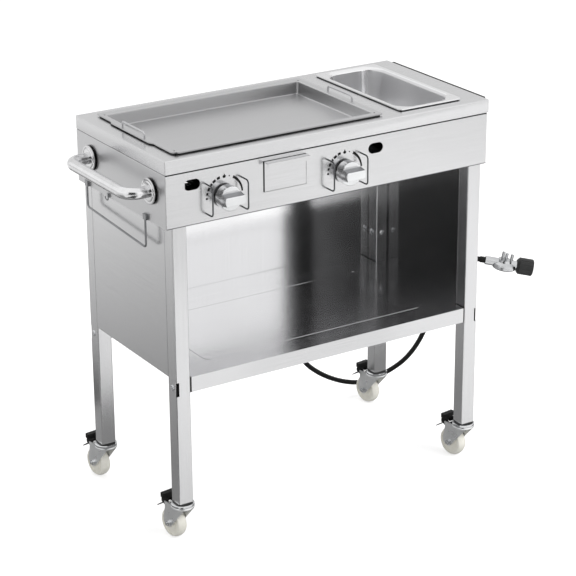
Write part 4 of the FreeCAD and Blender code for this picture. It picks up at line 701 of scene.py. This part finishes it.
# Degrees are counted anticlockwise from three o'clock, as seen from the front.
# Pips that grow towards the top: (middle, half their length in degrees, width).
PIPS = ((180, 2.6, 5.4), (166, 3.8, 5.4), (152.5, 4.8, 5.6), (138, 3.8, 5.8), (125, 5.6, 6.2),
        (109.5, 5.0, 6.2))
# A tick and a thinning arc: (start, end, width at start, width at end, steps).
ARCS = ((72.5, 76, 3.0, 3.0, 3), (3.5, 61, 4.2, 6.6, 24))
FLAME = ((0.0, -0.5), (0.28, -0.42), (0.42, -0.15), (0.36, 0.08), (0.2, 0.0), (0.14, 0.28),
         (-0.04, 0.55), (-0.08, 0.25), (-0.3, 0.05), (-0.42, -0.2), (-0.26, -0.44))
FLAME_HIGH = 11.0
# The flame's middle from the top of the dial's circle.
FLAME_OFF = (-0.5, 0.5)


def raised(bm, outline):
    """A thin plate on the fascia; its outline lists (x, z) anticlockwise from the front."""
    y = -HALF_D
    back = [bm.verts.new(here(x, y, z)) for x, z in outline]
    front = [bm.verts.new(here(x, y - MARK_PROUD, z)) for x, z in outline]
    bm.faces.new(front)
    bm.faces.new(back[::-1])
    for i in range(len(outline)):
        j = (i + 1) % len(outline)
        bm.faces.new((back[i], back[j], front[j], front[i]))


def sector(x, start, end, wide, narrow, steps):
    """Part of a ring round the dial, from one width to another, angles in degrees."""
    inner, outer = [], []
    for i in range(steps + 1):
        share = i / steps
        angle = math.radians(start + (end - start) * share)
        half = (wide + (narrow - wide) * share) / 2
        for side, points in ((-half, inner), (half, outer)):
            reach = DIAL_R + side
            points.append((x + reach * math.cos(angle), KNOB_Z + reach * math.sin(angle)))
    return outer + inner[::-1]


def make_dials():
    """Printed marks round each knob: pips that grow, a flame at the top and a thinning arc."""
    bm = bmesh.new()
    for x in KNOB_X:
        for middle, half, width in PIPS:
            raised(bm, sector(x, middle - half, middle + half, width, width, 6))
        left, up = x + FLAME_OFF[0], KNOB_Z + DIAL_R + FLAME_OFF[1]
        raised(bm, [(left + FLAME_HIGH * u, up + FLAME_HIGH * v) for u, v in FLAME])
        for arc in ARCS:
            raised(bm, sector(x, *arc))
    bmesh.ops.recalc_face_normals(bm, faces=bm.faces)
    piece_from(bm, "dial_marks", "ink", "cart")


make_dials()


# ---- screws ----
# A screw from the middle of its head to the end of its shank: (reach, rise).
SCREW_PROFILE = ((1.2, 2.6), (2.6, 2.6), (3.9, 2.55), (5.4, 2.3), (6.8, 1.6), (7.7, 0.8),
                 (8.0, 0.0), (3.0, 0.0), (3.0, -3.6))
SCREW_SPOKES = 24
# The cross: how far it reaches, how deep its arms are, and how high its middle lies.
CROSS_R, CROSS_DEEP, CROSS_MIDDLE = 4.0, 1.5, 0.9
# Screws beside each leg, inside the legs over the shelf, and through the back panel.
LEG_SCREW = (435.0, 198.8, 405.0)
INNER_SCREW = (416.0, 178.3, 509.0)
BACK_SCREW = (397.0, 197.3, 509.0)
CLIP_SCREW = (436.3, -85.5, 477.3)


def cross_head():
    """A pan head with a cross recess, and a short shank, as one closed mesh."""
    bm = bmesh.new()
    arm_each = SCREW_SPOKES // 4
    rings = []
    for reach, rise in SCREW_PROFILE:
        ring = []
        for i in range(SCREW_SPOKES):
            angle = 2 * math.pi * i / SCREW_SPOKES
            in_cross = i % arm_each == 0 and reach < CROSS_R and rise > 0
            up = rise - CROSS_DEEP if in_cross else rise
            ring.append(bm.verts.new((reach * MM * math.cos(angle),
                                      reach * MM * math.sin(angle), up * MM)))
        rings.append(ring)
    for outer, inner in zip(rings[1:], rings):
        for i in range(SCREW_SPOKES):
            j = (i + 1) % SCREW_SPOKES
            bm.faces.new((inner[i], outer[i], outer[j], inner[j]))
    middle = bm.verts.new((0.0, 0.0, CROSS_MIDDLE * MM))
    for i in range(SCREW_SPOKES):
        bm.faces.new((middle, rings[0][i], rings[0][(i + 1) % SCREW_SPOKES]))
    bm.faces.new(rings[-1][::-1])
    return in_scene("cross_head", to_mesh(bm))


def scatter_tree():
    """Geometry nodes that set one piece on each point, turned as the point says."""
    tree = bpy.data.node_groups.new("set_on_points", "GeometryNodeTree")
    sockets = {}
    for name, kind in (("Places", "Geometry"), ("Piece", "Object"), ("Size", "Float"),
                       ("Finish", "Material")):
        sockets[name] = tree.interface.new_socket(name, in_out="INPUT",
                                                  socket_type="NodeSocket" + kind).identifier
    tree.interface.new_socket("Pieces", in_out="OUTPUT", socket_type="NodeSocketGeometry")
    given = add(tree, "NodeGroupInput").outputs
    info = add(tree, "GeometryNodeObjectInfo", {"Object": given["Piece"]}).outputs
    turn = add(tree, "GeometryNodeInputNamedAttribute", {"Name": "turn"},
               data_type="FLOAT_VECTOR")
    stamps = add(tree, "GeometryNodeInstanceOnPoints", {
        "Points": given["Places"], "Instance": info["Geometry"], "Rotation": turn,
        "Scale": given["Size"]})
    real = add(tree, "GeometryNodeRealizeInstances", {"Geometry": stamps})
    done = add(tree, "GeometryNodeSetMaterial", {"Geometry": real, "Material": given["Finish"]})
    add(tree, "NodeGroupOutput", {"Pieces": done})
    return tree, sockets


def scattered(piece, places, finish):
    """One mesh of a piece set at each (place, direction) pair."""
    mesh = bpy.data.meshes.new("places")
    mesh.from_pydata([place for place, _ in places], [], [])
    turn = mesh.attributes.new("turn", "FLOAT_VECTOR", "POINT")
    for item, (_, toward) in zip(turn.data, places):
        item.vector = toward.to_track_quat("Z", "Y").to_euler()
    points = in_scene("places", mesh)
    tree, sockets = scatter_tree()
    modifier = points.modifiers.new("scatter", "NODES")
    modifier.node_group = tree
    modifier[sockets["Piece"]] = piece
    modifier[sockets["Size"]] = 1.0
    modifier[sockets["Finish"]] = MATERIALS[finish]
    result = flattened(points)
    bpy.data.objects.remove(points)
    return result


def make_screws():
    """Cross-recessed pan heads on the legs' sides and inside the legs over the shelf."""
    places = []
    for sx in (-1, 1):
        for sy in (-1, 1):
            x, y, z = LEG_SCREW
            places.append((here(sx * x, sy * y, z), Vector((sx, 0, 0))))
            x, y, z = INNER_SCREW
            places.append((here(sx * x, sy * y, z), Vector((0, -sy, 0))))
        x, y, z = BACK_SCREW
        places.append((here(sx * x, y, z), Vector((-sx, 0, 0))))
    places.append((here(*CLIP_SCREW), Vector((1, 0, 0))))
    head = cross_head()
    mesh = scattered(head, places, "zinc")
    bpy.data.objects.remove(head)
    piece_from(mesh, "cross_recess_screws", "zinc", "cart", "frame_screws")


make_screws()


# ---- studio, in metres in the frame ----
FLOOR_REACH = 20.0
FLOOR_TONE = "#C8C8C8"
WHITE = "#FFFFFF"
# The floor's own glow, as reflections see it and as the camera does.
FLOOR_GLOW = (0.32, 0.62)
# The world's strength as a light, and as what is seen.
WORLD_LEVEL = (0.75, 1.0)
LAMPS = (("front_right_softbox", (1.6, -2.6, 2.6), (0.0, 0.0, 0.6), (2.0, 2.0), 60.0),
         ("top_softbox", (0.2, 0.6, 3.2), (0.0, 0.0, 0.9), (2.4, 1.6), 40.0))


def seen_share(tree, path):
    """1 for rays of the camera, of gloss and of transmission, and 0 for the rest."""
    seen = path["Is Camera Ray"]
    for ray in ("Is Glossy Ray", "Is Transmission Ray"):
        seen = add(tree, "ShaderNodeMath", {0: seen, 1: path[ray]},
                   operation="MAXIMUM").outputs[0]
    return seen


def make_floor():
    """A pale floor that keeps the cart's shadow and glows a little where it is seen."""
    reach = FLOOR_REACH
    mesh = bpy.data.meshes.new("studio_floor")
    mesh.from_pydata([(-reach, -reach, 0), (reach, -reach, 0), (reach, reach, 0),
                      (-reach, reach, 0)], [], [(0, 1, 2, 3)])
    material = bpy.data.materials.new("pale_studio_floor")
    tree = bare_tree(material)
    path = add(tree, "ShaderNodeLightPath").outputs
    dull = add(tree, "ShaderNodeBsdfDiffuse", {"Color": srgb(FLOOR_TONE)})
    level = add(tree, "ShaderNodeMapRange", {"Value": path["Is Camera Ray"],
                                             "To Min": FLOOR_GLOW[0], "To Max": FLOOR_GLOW[1]})
    glow = add(tree, "ShaderNodeEmission", {"Color": srgb(WHITE), "Strength": level})
    bright = add(tree, "ShaderNodeAddShader", {0: dull, 1: glow})
    shown = add(tree, "ShaderNodeMixShader", {0: seen_share(tree, path), 1: dull, 2: bright})
    add(tree, "ShaderNodeOutputMaterial", {"Surface": shown})
    mesh.materials.append(material)
    in_scene("studio_floor", mesh)


def make_world():
    """A white room, weaker as a light than as what is seen."""
    world = bpy.data.worlds.new("studio")
    bpy.context.scene.world = world
    tree = bare_tree(world)
    path = add(tree, "ShaderNodeLightPath").outputs
    level = add(tree, "ShaderNodeMapRange", {"Value": seen_share(tree, path),
                                             "To Min": WORLD_LEVEL[0],
                                             "To Max": WORLD_LEVEL[1]})
    sky = add(tree, "ShaderNodeBackground", {"Color": srgb(WHITE), "Strength": level})
    add(tree, "ShaderNodeOutputWorld", {"Surface": sky})


def make_lamp(name, place, target, size, watts):
    """A soft box that reflections don't see."""
    data = bpy.data.lights.new(name, "AREA")
    data.shape = "RECTANGLE"
    data.size, data.size_y = size
    data.energy = watts
    lamp = in_scene(name, data)
    aim = (Vector(place) - Vector(target)).to_track_quat("Z", "Y")
    lamp.matrix_world = Matrix.Translation(place) @ aim.to_matrix().to_4x4()
    lamp.visible_glossy = False


def make_card(name, corners, level, far=None, span=(0.0, 1.0), axis="Y"):
    """A studio card that only reflections see, plain or graded from level to far."""
    mesh = bpy.data.meshes.new(name)
    mesh.from_pydata(corners, [], [(0, 1, 2, 3)])
    material = bpy.data.materials.new(name)
    tree = bare_tree(material)
    if far is not None:
        where = add(tree, "ShaderNodeTexCoord").outputs["Object"]
        level = between(tree, where, axis, *span, level, far)
    glow = add(tree, "ShaderNodeEmission", {"Color": srgb(WHITE), "Strength": level})
    add(tree, "ShaderNodeOutputMaterial", {"Surface": glow})
    mesh.materials.append(material)
    card = in_scene(name, mesh)
    for ray in ("camera", "diffuse", "transmission", "volume_scatter", "shadow"):
        setattr(card, "visible_" + ray, False)


def standing(start, end, low, high):
    """The corners of an upright card between two places on the floor."""
    return [(*start, low), (*end, low), (*end, high), (*start, high)]


def lying(z, *corners):
    """The corners of a card just over the floor."""
    return [(x, y, z) for x, y in corners]


make_floor()
make_world()
for lamp in LAMPS:
    make_lamp(*lamp)
# Grey walls behind the cart and at its sides.
make_card("back_right_card", standing((-2.0, 5.0), (6.0, 5.0), 0.0, 4.2), 0.78)
make_card("right_card", standing((5.0, 0.5), (5.0, 5.0), 0.0, 4.2), 0.78)
make_card("left_back_card", standing((-2.8, -0.4), (-2.8, 5.0), 0.0, 1.2), 0.74)
# The floor that the left panel shows, dark near the cart and pale far off, and a dark strip
# of it that the handle shows.
make_card("left_floor_card", lying(0.002, (-2.8, -0.3), (1.6, -0.3), (1.6, 5.0), (-2.8, 5.0)),
          0.27, 0.94, (0.2, 2.5))
make_card("handle_floor_card", lying(0.004, (-0.72, 0.6), (-0.36, 0.6), (-0.36, 1.7),
                                     (-0.72, 1.7)), 0.08)
# The dark that the right part of the cabinet's inside shows.
make_card("left_front_card", standing((-2.35, -1.48), (-0.8, -3.26), 0.65, 3.0), 0.02, 0.5,
          (-1.25, -1.14), "X")
# Dark left sides for the knobs, the roses and the handle's bends.
make_card("left_front_floor_card", lying(0.003, (-2.0, -2.9), (-0.6, -2.9), (-0.47, -0.35),
                                         (-1.2, -0.35)), 0.06)
# Bright cards for the faces that look to the front.
make_card("front_floor_card", lying(0.003, (-0.12, -0.4), (0.4, -0.4), (1.06, -1.45),
                                    (0.54, -1.45)), 1.0)
make_card("front_right_card", standing((-0.5, -5.0), (7.0, -5.0), 0.3, 5.0), 1.14)
make_card("front_left_fade_card", lying(0.003, (0.3, -2.5), (1.3, -2.5), (1.3, -1.8),
                                        (0.3, -1.8)), 0.72, 1.0, (0.6, 1.25), "X")

bpy.context.scene.view_settings.view_transform = "Standard"
